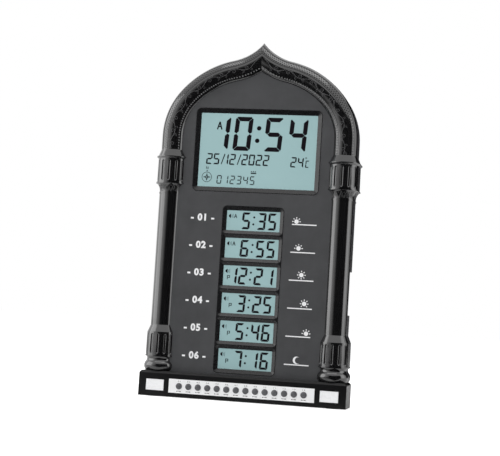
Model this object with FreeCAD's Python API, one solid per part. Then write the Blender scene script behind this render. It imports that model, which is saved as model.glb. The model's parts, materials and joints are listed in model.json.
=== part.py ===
import FreeCAD, Part
import math
import os

# An azan clock: an arched case between two turned columns on a plinth, with one large display,
# six small ones in a stack, and a row of fourteen push buttons along the plinth.
# Sizes are millimetres. The front faces -Y, Z is up, and the origin is under the middle of the part.
# A depth is counted backwards from the plinth's front face, and a height from the table.

Vector = FreeCAD.Vector

# Case and plinth
plinth_width = 236.0
case_depth = 44.0
pad_proud = 0.5
plinth_height = 28.0
plinth_chamfer = 2.4
plinth_wall = 2.4
case_wall = 2.2
trim_wall = 2.4
fit_gap = 0.15
key_proud = 1.6

# Depths of the layers
panel_depth = 10.5
panel_thickness = 2.0
shell_thickness = 2.0
trim_back_depth = 15.0
rim_thickness = 2.5
rear_step = 5.0
rear_inset = 6.0
axis_setback = 4.0

# Column radii, turned about an axis that lies axis_setback behind the trim's back
column_inset = 18.5
torus_radius = 18.2
torus_end_radius = 15.9
cove_radius = 15.2
foot_lip_radius = 17.6
foot_drum_radius = 17.0
foot_drum_top_radius = 16.7
shaft_radius = 13.4
neck_ring_radius = 13.95
neck_waist_radius = 14.2
neck_top_radius = 16.7
low_lip_radius = 18.1
drum_radius = 17.2
drum_top_radius = 17.0
collar_lip_radius = 18.8
collar_radius = 17.5
arch_radius = 14.4

# Column heights, each step above the one before
torus_height = 11.0
cove_height = 5.0
foot_lip_height = 1.4
foot_drum_height = 26.6
flare_height = 8.0
shaft_height = 150.4
neck_ring_height = 1.8
neck_height = 9.8
low_lip_height = 1.3
drum_height = 27.6
lip_slope_height = 1.5
collar_lip_height = 0.9
collar_height = 8.0

# Flutes of the capitals and feet
flute_count = 5
flute_step = 27.0
flute_radius = 2.0
flute_depth = 1.0
flute_margin = 3.5

# Centre line of the arch: two arcs that swell outwards, then one that sweeps up to the point.
# The radii are shares of the columns' distance from the middle.
arch_straight = 17.5
side_arc_share = 0.6754
side_arc_end = 40.0
shoulder_arc_share = 0.9719
shoulder_arc_end = 77.5
point_arc_share = 0.7447
point_arc_end = 215.0

# Displays
main_side_room = 32.0
main_height = 85.0
main_z = 283.7
row_count = 6
row_width = 61.4
row_height = 22.7
row_pitch = 31.36
first_row_z = 203.7
main_bevel = 5.5
row_bevel_side = 4.65
row_bevel_end = 5.0
row_bar_bevel = 3.8
bezel_proud = 0.2
bezel_edge = 0.6
main_corner = 6.0
row_corner = 5.0
glass_depth = 13.0
glass_thickness = 2.6
glass_border = 3.2
row_glass_border = 1.6
flange_width = 3.0
flange_thickness = 1.2
zebra_width = 2.4
board_thickness = 1.6
board_share = 0.5326
board_air = 1.7
main_board_reach = 16.0
row_board_reach = 15.0

# Buttons
key_count = 14
key_gap = 3.9
key_end_room = 11.9
key_clearance = 0.08
key_dome = 1.0
key_flange_reach = 1.1
key_flange = 1.0
key_stem_radius = 1.6
key_stem = 1.7
key_travel = 0.9
key_z = 13.0
strip_end_room = 35.25
strip_height = 15.6
strip_thickness = 1.0
lamp_inset = 19.0
lamp_width = 20.5
lamp_height = 12.3
lamp_recess = 0.3
lamp_lip = 0.6
switch_size = 6.0
switch_body = 3.5
switch_plunger = 1.1
switch_plunger_radius = 1.5

# Fasteners and bosses
boss_radius = 3.5
case_screw_radius = 1.45
case_screw_head = 2.9
case_screw_head_height = 2.2
small_screw_radius = 1.1
small_screw_head = 2.3
small_screw_head_height = 1.4
pilot_gap = 0.05
boss_meet_depth = 27.0
screw_seat_depth = 31.0
case_screw_reach = 12.0

# Battery bay
cell_radius = 7.1
cell_length = 49.5
cell_count = 3
cell_gap = 0.6
contact_space = 2.6
bay_bottom = 63.0
bay_wall = 1.8
door_thickness = 2.0
door_border = 3.2
door_gap = 0.3
hinge_pin_radius = 0.8
hinge_pin_length = 1.4
hinge_clearance = 0.06
door_tab = 2.0

# Controls in the side bay
side_bay_bottom = 103.5
side_bay_top = 152.5
side_bay_depth = 3.6
slide_z = 146.7
slide_travel = 3.0
jack_z = 136.0
wheel_z = 122.0
audio_z = 109.0
wheel_radius = 9.0
wheel_thickness = 2.6
wheel_proud = 2.2
wheel_teeth = 28
spindle_radius = 1.5
pot_radius = 4.2
controls_share = 0.6
controls_setback = 0.6
controls_room = 5.5
side_board_setback = 6.0
side_board_width = 17.7
side_post_inset = 11.7
side_post_heights = [112.0, 144.0]
jack_half = 4.5
jack_length = 13.0
jack_bore = 2.8
jack_pin = 1.0
audio_half = 3.6
audio_length = 9.4
audio_bore = 1.8

# Loudspeaker and wall hanging
speaker_z = 238.0
speaker_radius = 28.0
speaker_depth = 15.0
grille_slots = 9
grille_pitch = 5.0
grille_slot_width = 2.2
keyhole_x = 60.0
keyhole_z = 318.0
keyhole_radius = 4.5
keyhole_slot_radius = 2.2
keyhole_rise = 8.0

# Ribbon between the boards
ribbon_width = 14.0
ribbon_thickness = 0.3
socket_depth = 2.2

# The front shell's raised middle, the trims' screws, the plinth's plate and its pads
plateau_offset = -15.5
trim_pilot_depth = 9.0
top_screw_share = 0.8241
upper_screw_share = 0.56
upper_screw_inset = 3.2
plinth_bottom_thickness = 2.0
pad_radius = 7.0
pad_sunk = 0.7
pad_margin = 0.45
cell_room = 1.2

# Values worked out from the sizes above
beyond = 3 * plinth_width
plinth_half = plinth_width / 2
column_x = plinth_half - column_inset
side_arc_radius = side_arc_share * column_x
shoulder_arc_radius = shoulder_arc_share * column_x
point_arc_radius = point_arc_share * column_x
main_width = 2 * (column_x - main_side_room)
lamp_x = plinth_half - lamp_inset
strip_width = plinth_width - 2 * strip_end_room
key_pitch = (strip_width - 2 * key_end_room) / (key_count - 1)
key_radius = (key_pitch - key_gap) / 2
key_flange_radius = key_radius + key_flange_reach
pocket_depth = case_depth - door_thickness - 2 * cell_radius - cell_room
middle_depth = (case_depth - key_proud) / 2
axis_depth = trim_back_depth + axis_setback
shell_depth = panel_depth + panel_thickness
rim_back_depth = trim_back_depth + rim_thickness
dish_depth = case_depth - rear_step
case_bottom = pad_proud + plinth_height
half_depth = case_depth / 2
row_centre_z = first_row_z - row_pitch * (row_count - 1) / 2
bezel_front = panel_depth - bezel_proud
glass_back = glass_depth + glass_thickness
flange_front = shell_depth + shell_thickness
board_depth = glass_back + board_share * (pocket_depth - bay_wall - glass_back)
board_back = board_depth + board_thickness
backlight_thickness = board_depth - glass_back - board_air
controls_depth = controls_share * case_depth + controls_setback
side_bay_front = controls_depth - controls_room
side_board_depth = controls_depth + side_board_setback
side_board_back = side_board_depth + board_thickness
bay_wall_x = column_x + shaft_radius - side_bay_depth - 0.8
wheel_x = bay_wall_x + wheel_proud - wheel_radius
board_edge_x = bay_wall_x - case_wall - 0.6
slide_body_x = board_edge_x - 0.4
side_board_posts = [(board_edge_x - side_post_inset, z) for z in side_post_heights]
key_switch_room = plinth_wall + pilot_gap + key_flange + key_stem + key_travel + 0.1
key_board_depth = key_switch_room + switch_plunger + switch_body
key_board_back = key_board_depth + board_thickness
key_board_half = lamp_x + lamp_width / 2 + 4.0
key_board_low = pad_proud + plinth_bottom_thickness + 1.0
key_board_high = case_bottom - plinth_wall - 0.6
ribbon_low = key_z - 4.0
bezel_height = row_pitch * (row_count - 1) + row_height + 2 * row_bevel_end
bezel_width = row_width + 2 * row_bevel_side
main_bezel_width = main_width + 2 * main_bevel
main_bezel_height = main_height + 2 * main_bevel
main_board_half = main_width / 2 + main_board_reach
row_board_half = row_width / 2 + row_board_reach


def y_at(depth):
    """The y of a depth behind the plinth's front face."""
    return depth - middle_depth


def half_width(radius):
    """How far a turned radius reaches sideways where the trim's back cuts it."""
    return math.sqrt(radius ** 2 - axis_setback ** 2)


def box(x0, x1, d0, d1, z0, z1):
    """A block between two values of x, two depths and two heights."""
    return Part.makeBox(x1 - x0, d1 - d0, z1 - z0, Vector(x0, y_at(d0), z0))


def block_at(x, z, width, height, d0, d1):
    """A block centred on x and z between two depths."""
    return box(x - width / 2, x + width / 2, d0, d1, z - height / 2, z + height / 2)


def rod_x(radius, x0, x1, depth, z):
    return Part.makeCylinder(radius, x1 - x0, Vector(x0, y_at(depth), z), Vector(1, 0, 0))


def rod_y(radius, d0, d1, x, z):
    return Part.makeCylinder(radius, d1 - d0, Vector(x, y_at(d0), z), Vector(0, 1, 0))


def rod_z(radius, z0, z1, x, depth):
    return Part.makeCylinder(radius, z1 - z0, Vector(x, y_at(depth), z0), Vector(0, 0, 1))


def fused(shapes):
    """All the shapes as one solid."""
    whole = shapes[0].multiFuse(shapes[1:]) if len(shapes) > 1 else shapes[0]
    return whole.removeSplitter()


def mirrored(shape):
    return shape.mirror(Vector(0, 0, 0), Vector(1, 0, 0))


def both_sides(shape):
    """The shape and its mirror image as a list."""
    return [shape, mirrored(shape)]


def rounded_wire(x, z, width, height, corner, depth):
    """A closed rectangle with round corners, upright at a depth."""
    y = y_at(depth)
    edges = []
    for turn in range(4):
        side_x, side_z = [(1, 1), (-1, 1), (-1, -1), (1, -1)][turn]
        next_x, next_z = [(-1, 1), (-1, -1), (1, -1), (1, 1)][turn]
        centre = Vector(x + side_x * (width / 2 - corner), y, z + side_z * (height / 2 - corner))
        follower = Vector(x + next_x * (width / 2 - corner), y, z + next_z * (height / 2 - corner))
        start, middle, end = [centre + Vector(math.cos(a), 0, math.sin(a)) * corner
                              for a in (turn * math.pi / 2, (turn + 0.5) * math.pi / 2,
                                        (turn + 1) * math.pi / 2)]
        out = Vector(math.cos((turn + 1) * math.pi / 2), 0, math.sin((turn + 1) * math.pi / 2))
        edges.append(Part.Arc(start, middle, end).toShape())
        edges.append(Part.makeLine(end, follower + out * corner))
    return Part.Wire(edges)


def rounded_plate(x, z, width, height, corner, d0, d1):
    """A plate with round corners between two depths."""
    return Part.Face(rounded_wire(x, z, width, height, corner, d0)).extrude(Vector(0, d1 - d0, 0))


def sloped_window(x, z, width, height, bevel_x, bevel_top, bevel_bottom, corner, d0, d1):
    """The tool for a window whose sides slope in from a rounded rectangle to the glass."""
    wide = rounded_wire(x, z + (bevel_top - bevel_bottom) / 2, width + 2 * bevel_x,
                        height + bevel_top + bevel_bottom, corner, d0)
    narrow = rounded_wire(x, z, width, height, bezel_edge, d1)
    return Part.makeLoft([wide, narrow], True, True)


def column_steps():
    """The column's outline from foot to collar: a start, then ends of lines, or arcs with a way point."""
    z = case_bottom
    steps = [(torus_end_radius, z)]
    steps.append(((torus_radius, z + torus_height / 2), (torus_end_radius, z + torus_height)))
    z += torus_height
    steps.append(((cove_radius, z + cove_height / 2), (torus_end_radius, z + cove_height)))
    z += cove_height
    steps.append((foot_lip_radius, z))
    z += foot_lip_height
    steps.append((foot_lip_radius, z))
    steps.append((foot_drum_radius, z))
    z += foot_drum_height
    steps.append((foot_drum_top_radius, z))
    z += flare_height
    steps.append((shaft_radius, z))
    z += shaft_height
    steps.append((shaft_radius, z))
    steps.append((neck_ring_radius, z))
    z += neck_ring_height
    steps.append((neck_ring_radius, z))
    steps.append((shaft_radius, z))
    steps.append(((neck_waist_radius, z + neck_height * 0.6), (neck_top_radius, z + neck_height)))
    z += neck_height
    steps.append((low_lip_radius, z))
    z += low_lip_height
    steps.append((low_lip_radius, z))
    steps.append((drum_radius, z))
    z += drum_height
    steps.append((drum_top_radius, z))
    z += lip_slope_height
    steps.append((collar_lip_radius, z))
    z += collar_lip_height
    steps.append((collar_lip_radius, z))
    steps.append((collar_radius, z))
    z += collar_height
    steps.append((arch_radius, z))
    return steps


foot_drum_z = case_bottom + torus_height + cove_height + foot_lip_height
shaft_z = foot_drum_z + foot_drum_height + flare_height
neck_z = shaft_z + shaft_height
drum_z = neck_z + neck_ring_height + neck_height + low_lip_height
collar_top = drum_z + drum_height + lip_slope_height + collar_lip_height + collar_height
side_arc_x = column_x - side_arc_radius
side_arc_z = collar_top + arch_straight


def edges_along(steps, place):
    """Lines and arcs through the steps, place turning a radius and a height into a point."""
    here = place(*steps[0])
    edges = []
    for step in steps[1:]:
        if isinstance(step[0], tuple):
            end = place(*step[1])
            edges.append(Part.Arc(here, place(*step[0]), end).toShape())
        else:
            end = place(*step)
            edges.append(Part.makeLine(here, end))
        here = end
    return edges


def arc_centres():
    """Centres of the arch's three arcs, as x and z on the right-hand side."""
    side = (side_arc_x, side_arc_z)
    a = math.radians(side_arc_end)
    shrink = side_arc_radius - shoulder_arc_radius
    shoulder = (side[0] + shrink * math.cos(a), side[1] + shrink * math.sin(a))
    a = math.radians(shoulder_arc_end)
    reach = shoulder_arc_radius + point_arc_radius
    point = (shoulder[0] + reach * math.cos(a), shoulder[1] + reach * math.sin(a))
    return side, shoulder, point


def arc_edge(centre, radius, start, end, y):
    """An upright arc about a centre between two angles in radians."""
    points = [Vector(centre[0] + radius * math.cos(a), y, centre[1] + radius * math.sin(a))
              for a in (start, (start + end) / 2, end)]
    return Part.Arc(*points).toShape()


def ogee_edges(offset, bottom, depth):
    """The right half of an arched outline that runs at an offset outside the arch's centre line."""
    y = y_at(depth)
    side, shoulder, point = arc_centres()
    turn = math.radians(side_arc_end)
    turn_back = math.radians(shoulder_arc_end)
    x = column_x + offset
    tip_radius = point_arc_radius - offset
    tip_angle = math.pi + math.acos(point[0] / tip_radius)
    return [Part.makeLine(Vector(x, y, bottom), Vector(x, y, side_arc_z)),
            arc_edge(side, side_arc_radius + offset, 0, turn, y),
            arc_edge(shoulder, shoulder_arc_radius + offset, turn, turn_back, y),
            arc_edge(point, tip_radius, math.pi + turn_back, tip_angle, y)]


def closed_face(right_half, bottom, depth):
    """The face between a right half, its mirror image and a line along the bottom."""
    y = y_at(depth)
    edges = list(right_half)
    edges += [mirrored(edge) for edge in right_half]
    low_x = right_half[0].Vertexes[0].X
    edges.append(Part.makeLine(Vector(-low_x, y, bottom), Vector(low_x, y, bottom)))
    return Part.Face(Part.Wire(Part.__sortEdges__(edges)))


def ogee_plate(offset, bottom, d0, d1):
    """A plate with the arch's outline at an offset from its centre line."""
    return closed_face(ogee_edges(offset, bottom, d0), bottom, d0).extrude(Vector(0, d1 - d0, 0))


def case_plate(d0, d1):
    """A plate with the whole outline: column steps, then the arch."""
    y = y_at(d0)
    right = edges_along(column_steps(), lambda r, z: Vector(column_x + half_width(r), y, z))
    right += ogee_edges(half_width(arch_radius), collar_top, d0)
    return closed_face(right, case_bottom, d0).extrude(Vector(0, d1 - d0, 0))


def turned_column(grow):
    """The right column turned in full about its axis, each radius grown by an amount."""
    y = y_at(axis_depth)
    steps = column_steps()
    edges = edges_along(steps, lambda r, z: Vector(column_x + r + grow, y, z))
    low = edges[0].Vertexes[0].Point
    high = edges[-1].Vertexes[-1].Point
    foot = Vector(column_x, y, low.z)
    head = Vector(column_x, y, high.z)
    edges += [Part.makeLine(high, head), Part.makeLine(head, foot), Part.makeLine(foot, low)]
    face = Part.Face(Part.Wire(Part.__sortEdges__(edges)))
    return face.revolve(foot, Vector(0, 0, 1), 360)


def disc(centre, normal, radius):
    return Part.Face(Part.Wire(Part.Circle(centre, normal, radius).toShape()))


def arch_tube(radius):
    """A round bar along the whole centre line of the arch, mitred at its point."""
    y = y_at(axis_depth)
    side, shoulder, point = arc_centres()
    turn = math.radians(side_arc_end)
    turn_back = math.radians(shoulder_arc_end)
    pieces = [rod_z(radius, collar_top, side_arc_z, column_x, axis_depth)]
    for centre, arc_radius, start, end in (
            (side, side_arc_radius, 0, turn),
            (shoulder, shoulder_arc_radius, turn, turn_back),
            (point, point_arc_radius, math.pi + turn_back, math.radians(point_arc_end))):
        spot = Vector(centre[0] + arc_radius * math.cos(start), y,
                      centre[1] + arc_radius * math.sin(start))
        along = Vector(-math.sin(start), 0, math.cos(start))
        sweep = math.degrees(end - start)
        pieces.append(disc(spot, along, radius).revolve(
            Vector(centre[0], y, centre[1]), Vector(0, -1, 0), sweep))
    right = fused(pieces).common(box(0, beyond, -beyond, beyond, 0, beyond))
    return fused(both_sides(right))


def front_half(shape):
    """The part of a shape in front of the trims' flat back."""
    return shape.common(box(-beyond, beyond, -beyond, trim_back_depth, 0, beyond))


def capsule(radius, z0, z1, x, depth):
    """A rod along Z with round ends."""
    y = y_at(depth)
    return fused([rod_z(radius, z0, z1, x, depth), Part.makeSphere(radius, Vector(x, y, z0)),
                  Part.makeSphere(radius, Vector(x, y, z1))])


def flutes(radius, z0, z1):
    """Tools for the upright round-ended grooves around the front of one drum."""
    reach = radius + flute_radius - flute_depth
    tools = []
    for index in range(flute_count):
        angle = math.radians((index - (flute_count - 1) / 2) * flute_step)
        tools.append(capsule(flute_radius, z0 + flute_margin, z1 - flute_margin,
                             column_x + reach * math.sin(angle), axis_depth - reach * math.cos(angle)))
    return tools


trim_boss_heights = [shaft_z + 20.0, neck_z - 12.0]


def trim_screw_places():
    """Where screws from behind hold the trims: x and z."""
    side = arc_centres()[0]
    angle = math.radians(side_arc_end * 0.75)
    arch_spot = (side[0] + side_arc_radius * math.cos(angle),
                 side[1] + side_arc_radius * math.sin(angle))
    columns = [(column_x, z) for z in trim_boss_heights]
    return columns, [arch_spot]


def column(side):
    """One hollow half-round column with fluted foot and capital, and bosses for its screws."""
    solid = front_half(turned_column(0))
    bore_radius = shaft_radius - trim_wall
    bore = rod_z(bore_radius, case_bottom + torus_height, collar_top - collar_height,
                 column_x, axis_depth)
    solid = solid.cut(bore)
    bosses = [rod_y(boss_radius, axis_depth - bore_radius - trim_wall / 2, trim_back_depth, x, z)
              for x, z in trim_screw_places()[0]]
    pilots = [rod_y(small_screw_radius + pilot_gap, trim_pilot_depth, trim_back_depth, x, z)
              for x, z in trim_screw_places()[0]]
    solid = fused([solid] + bosses).cut(Part.makeCompound(pilots))
    mean_drum = (drum_radius + drum_top_radius) / 2
    mean_foot = (foot_drum_radius + foot_drum_top_radius) / 2
    grooves = flutes(mean_drum, drum_z, drum_z + drum_height)
    grooves += flutes(mean_foot, foot_drum_z, foot_drum_z + foot_drum_height)
    solid = solid.cut(Part.makeCompound(grooves))
    return solid if side > 0 else mirrored(solid)


def arch_moulding():
    """The hollow half-round arch over both columns, with a boss on each side."""
    solid = front_half(arch_tube(arch_radius)).cut(arch_tube(arch_radius - trim_wall))
    front = axis_depth - arch_radius + trim_wall / 2
    for x, z in trim_screw_places()[1]:
        boss = rod_y(boss_radius, front, trim_back_depth, x, z)
        pilot = rod_y(small_screw_radius + pilot_gap, trim_pilot_depth, trim_back_depth, x, z)
        solid = fused([solid] + both_sides(boss)).cut(Part.makeCompound(both_sides(pilot)))
    return solid


def display_windows(gap, d0, d1):
    """Tools for the two rounded windows that the bezels stand in."""
    return [rounded_plate(0, main_z, main_bezel_width + 2 * gap, main_bezel_height + 2 * gap,
                          main_corner + gap, d0, d1),
            rounded_plate(0, row_centre_z, bezel_width + 2 * gap, bezel_height + 2 * gap,
                          row_corner + gap, d0, d1)]


def front_panel():
    """The flat plate inside the arch, cut to the columns' outline and open at the displays."""
    plate = ogee_plate(0, case_bottom, panel_depth, shell_depth)
    tools = display_windows(fit_gap, panel_depth - 1, shell_depth + 1)
    tools += both_sides(turned_column(fit_gap))
    tools.append(arch_tube(arch_radius + fit_gap))
    for tool in tools:
        plate = plate.cut(tool)
    return max(plate.Solids, key=lambda solid: solid.Volume)


def case_screw_places():
    """Where screws join the rear cover to the front shell: x and z."""
    centre = arc_centres()[0]
    angle = math.radians(side_arc_end * upper_screw_share)
    reach = side_arc_radius - upper_screw_inset
    side = [(column_x - 4.0, 52.0), (column_x - 4.0, 180.0),
            (centre[0] + reach * math.cos(angle), centre[1] + reach * math.sin(angle))]
    return side + [(-x, z) for x, z in side] + [(0.0, side_arc_z + top_screw_share * column_x)]


def board_screw_places():
    """Where screws hold the two display boards: x and z."""
    main = [(sx * (main_board_half - 4.0), main_z + sz * 20.0) for sx in (1, -1) for sz in (1, -1)]
    rows = [(sx * (row_board_half - 4.0), row_centre_z + sz * 65.0) for sx in (1, -1) for sz in (1, -1)]
    return main + rows


def front_shell():
    """The carrier: a rim with the case's whole outline, raised inside to hold panel and displays."""
    rim = case_plate(trim_back_depth, rim_back_depth)
    raised = ogee_plate(plateau_offset, case_bottom, shell_depth, rim_back_depth)
    hollow = ogee_plate(plateau_offset - shell_thickness, case_bottom + 1.2,
                        flange_front, rim_back_depth)
    shell = fused([rim, raised]).cut(hollow)
    bosses = [rod_y(boss_radius, rim_back_depth, boss_meet_depth, x, z)
              for x, z in case_screw_places()]
    bosses += [rod_y(boss_radius - 0.7, flange_front, board_depth, x, z)
               for x, z in board_screw_places()]
    shell = fused([shell] + bosses)
    tools = display_windows(fit_gap, shell_depth - 1, flange_front + 0.5)
    tools.append(block_at(0, main_z, main_width + 2 * (glass_border + fit_gap),
                          main_height + 2 * (glass_border + fit_gap), flange_front, board_back))
    tools += [rod_y(case_screw_radius + pilot_gap, screw_seat_depth - case_screw_reach - 0.5,
                    boss_meet_depth, x, z) for x, z in case_screw_places()]
    tools += [rod_y(small_screw_radius + pilot_gap, flange_front + 0.4, board_depth, x, z)
              for x, z in board_screw_places()]
    columns, arches = trim_screw_places()
    for x, z in columns + arches:
        tools += both_sides(rod_y(small_screw_radius + 0.3, trim_back_depth, rim_back_depth, x, z))
    shell = shell.cut(Part.makeCompound(tools))
    for room in both_sides(front_half(turned_column(fit_gap))):
        shell = shell.cut(room)
    return shell


def bay_block(grow):
    """The side bay on the right, grown inwards by a wall."""
    return box(bay_wall_x - grow, column_x + 30, side_bay_front - grow, case_depth + 5,
               side_bay_bottom - grow, side_bay_top + grow)


cell_pitch = 2 * cell_radius + cell_gap
pocket_half = cell_pitch * cell_count / 2 + 0.4
pocket_top = bay_bottom + cell_length + 2 * contact_space
door_half = pocket_half + door_border
door_bottom = bay_bottom - door_border
door_top = pocket_top + door_border
hinge_depth = case_depth - door_thickness / 2
hinge_z = door_bottom + door_thickness / 2


def battery_tools():
    """The block that the battery bay adds inside the cover, and the tools that open it."""
    block = box(-door_half - bay_wall - 2, door_half + bay_wall + 2, pocket_depth - bay_wall,
                case_depth - 0.5, door_bottom - bay_wall - 2, door_top + bay_wall)
    pocket = box(-pocket_half, pocket_half, pocket_depth, case_depth + 1, bay_bottom, pocket_top)
    recess = box(-door_half - door_gap, door_half + door_gap, case_depth - door_thickness - 0.1,
                 case_depth + 1, door_bottom - door_gap, door_top + door_gap)
    hinge = rod_x(hinge_pin_radius + hinge_clearance, -door_half - hinge_pin_length - 0.3,
                  door_half + hinge_pin_length + 0.3, hinge_depth, hinge_z)
    notch = rounded_plate(0, door_top + 2.5, 14.0, 8.0, 2.5, case_depth - 1.6, case_depth + 1)
    return block, [pocket, recess, hinge, notch]


def base_screw_places():
    """Where screws from inside the plinth hold the case: x and depth."""
    return [(sx * x, half_depth + 9.0) for sx in (1, -1) for x in (column_x - 15.5, 30.0)]


def keyhole(x):
    """The tool for one wall-hanging keyhole."""
    d0 = case_depth - case_wall - 1
    d1 = case_depth + 1
    return fused([rod_y(keyhole_radius, d0, d1, x, keyhole_z),
                  block_at(x, keyhole_z + keyhole_rise / 2, 2 * keyhole_slot_radius, keyhole_rise,
                           d0, d1),
                  rod_y(keyhole_slot_radius, d0, d1, x, keyhole_z + keyhole_rise)])


def grille():
    """Tools for the loudspeaker's upright slots, their lengths following a circle."""
    tools = []
    for index in range(grille_slots):
        x = (index - (grille_slots - 1) / 2) * grille_pitch
        half = math.sqrt((speaker_radius - 3.0) ** 2 - x ** 2)
        tools.append(rounded_plate(x, speaker_z, grille_slot_width, 2 * half,
                                   grille_slot_width / 2 - 0.01, case_depth - case_wall - 1,
                                   case_depth + 1))
    return tools


def speaker_clip_places():
    """Where three clips hold the loudspeaker: x and z."""
    reach = speaker_radius + 5.0
    return [(reach * math.cos(math.radians(a)), speaker_z + reach * math.sin(math.radians(a)))
            for a in (90, 210, 330)]


def rear_cover():
    """The deep rear half: the column outline carried back, a stepped back, bays and posts."""
    dish = ogee_plate(half_width(arch_radius) - rear_inset, case_bottom, dish_depth, case_depth)
    back_edges = [edge for edge in dish.Edges
                  if abs(edge.BoundBox.YMin - y_at(case_depth)) < 0.01
                  and edge.BoundBox.ZMax > case_bottom + 1]
    dish = dish.makeFillet(rear_step * 0.5, back_edges)
    outer = case_plate(rim_back_depth, dish_depth)
    cover = fused([outer, dish])
    inner = half_width(shaft_radius) - case_wall
    back = half_width(arch_radius) - rear_inset - case_wall
    floor = case_bottom + case_wall
    cover = cover.cut(ogee_plate(inner, floor, rim_back_depth, dish_depth - case_wall))
    cover = cover.cut(ogee_plate(back, floor, dish_depth - case_wall - 1, case_depth - case_wall))
    battery_block, battery_cuts = battery_tools()
    adds = [bay_block(case_wall).common(outer), battery_block]
    adds += [rod_y(boss_radius + 1.1, boss_meet_depth, case_depth - 1, x, z)
             for x, z in case_screw_places()]
    adds += [rod_z(boss_radius, case_bottom, case_bottom + 12.0, x, depth)
             for x, depth in base_screw_places()]
    adds += [rod_y(3.0, case_depth - case_wall - 1.4, case_depth - 1, x, z)
             for x, z in speaker_clip_places()]
    adds += [rod_y(3.0, side_board_back, case_depth - 1, x, z) for x, z in side_board_posts]
    cover = fused([cover] + adds)
    tools = battery_cuts + [bay_block(0)] + grille() + [keyhole(keyhole_x), keyhole(-keyhole_x)]
    tools += [rod_y(case_screw_radius + 0.25, boss_meet_depth - 1, case_depth, x, z)
              for x, z in case_screw_places()]
    tools += [rod_y(case_screw_head + 0.3, screw_seat_depth, case_depth + 1, x, z)
              for x, z in case_screw_places()]
    tools += [rod_z(case_screw_radius + pilot_gap, case_bottom - 1, case_bottom + 10.0, x, depth)
              for x, depth in base_screw_places()]
    tools += [rod_y(small_screw_radius + pilot_gap, case_depth - case_wall - 2, case_depth - 0.8, x, z)
              for x, z in speaker_clip_places()]
    tools += [rod_y(small_screw_radius + pilot_gap, side_board_back - 1, side_board_back + 6, x, z)
              for x, z in side_board_posts]
    tools.append(box(-ribbon_width / 2 - 1, ribbon_width / 2 + 1, board_back - 1.6, board_back + 2.4,
                     case_bottom - 1, floor + 1))
    wall_in = bay_wall_x - case_wall - 1
    wall_out = bay_wall_x + 1
    chord = math.sqrt(wheel_radius ** 2 - (bay_wall_x - case_wall - wheel_x) ** 2) + 0.4
    tools.append(box(wall_in, wall_out, controls_depth - wheel_thickness / 2 - 0.5,
                     controls_depth + wheel_thickness / 2 + 0.5, wheel_z - chord, wheel_z + chord))
    tools.append(box(wall_in, wall_out, controls_depth - 1.5, controls_depth + 1.5,
                     slide_z - slide_travel / 2 - 1.8, slide_z + slide_travel / 2 + 1.8))
    tools.append(rod_x(jack_half - 0.5 + fit_gap, wall_in, wall_out, controls_depth, jack_z))
    tools.append(rod_x(audio_half - 0.6 + fit_gap, wall_in, wall_out, controls_depth, audio_z))
    for tool in tools:
        cover = cover.cut(tool)
    return cover.removeSplitter()


def battery_door():
    """The hinged battery door: a plate with a round lower edge, two pins and a finger tab."""
    inner_face = case_depth - door_thickness
    plate = box(-door_half, door_half, inner_face, case_depth, hinge_z, door_top)
    edge = rod_x(door_thickness / 2, -door_half, door_half, hinge_depth, hinge_z)
    pins = rod_x(hinge_pin_radius, -door_half - hinge_pin_length, door_half + hinge_pin_length,
                 hinge_depth, hinge_z)
    tab = box(-5.0, 5.0, case_depth - 1.3, case_depth - 0.3, door_top - 1, door_top + door_tab)
    grip = [block_at(0, door_top - 6.0 - 2.2 * i, 16.0, 1.0, case_depth - 0.4, case_depth + 1)
            for i in range(4)]
    return fused([plate, edge, pins, tab]).cut(Part.makeCompound(grip))


def cell_places():
    """X of each cell."""
    return [(index - (cell_count - 1) / 2) * cell_pitch for index in range(cell_count)]


cell_depth = pocket_depth + cell_radius + 0.3
cell_bottom = bay_bottom + contact_space


def battery_cells():
    """Three cells side by side, each with its small positive cap, the middle one turned round."""
    cells = []
    for index, x in enumerate(cell_places()):
        cap = 1.6
        low = cell_bottom + (cap if index == 1 else 0)
        body = rod_z(cell_radius, low, low + cell_length - cap, x, cell_depth)
        nub_z = cell_bottom if index == 1 else cell_bottom + cell_length - cap
        cells.append(fused([body, rod_z(2.6, nub_z, nub_z + cap, x, cell_depth)]))
    return Part.makeCompound(cells)


def battery_contacts():
    """Springs at the flat ends of the cells and plates at their caps."""
    parts = []
    plate = 0.5
    for index, x in enumerate(cell_places()):
        for end in (0, 1):
            wall_z = pocket_top if end else bay_bottom
            into = -1 if end else 1
            flat_end = (index == 1) == bool(end)
            low = min(wall_z, wall_z + into * plate)
            sheet = box(x - 5.0, x + 5.0, cell_depth - 5.0, cell_depth + 5.0, low, low + plate)
            start = Vector(x, y_at(cell_depth), wall_z + into * plate)
            length = contact_space - plate - 0.05
            if flat_end:
                bump = Part.makeCone(4.2, 2.4, length, start, Vector(0, 0, into))
            else:
                bump = Part.makeCylinder(1.8, length, start, Vector(0, 0, into))
            parts.append(fused([sheet, bump]))
    return Part.makeCompound(parts)


def main_bezel():
    """The deep black surround of the large display, with a pocket for its glass behind."""
    ring = rounded_plate(0, main_z, main_bezel_width, main_bezel_height, main_corner,
                         bezel_front, flange_front)
    flange = rounded_plate(0, main_z, main_bezel_width + 2 * flange_width,
                           main_bezel_height + 2 * flange_width, main_corner,
                           flange_front, flange_front + flange_thickness)
    flange = flange.common(ogee_plate(plateau_offset - shell_thickness - fit_gap, case_bottom,
                                      flange_front, flange_front + flange_thickness))
    slope = sloped_window(0, main_z, main_width, main_height, main_bevel - bezel_edge,
                          main_bevel - bezel_edge, main_bevel - bezel_edge,
                          main_corner - bezel_edge, bezel_front, glass_depth)
    pocket = block_at(0, main_z, main_width + 2 * glass_border + fit_gap,
                      main_height + 2 * glass_border + fit_gap, glass_depth, glass_back + 1)
    return fused([ring, flange]).cut(slope).cut(pocket)


def row_places():
    """Height of each small display's centre, from the top one down."""
    return [first_row_z - row_pitch * index for index in range(row_count)]


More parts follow.
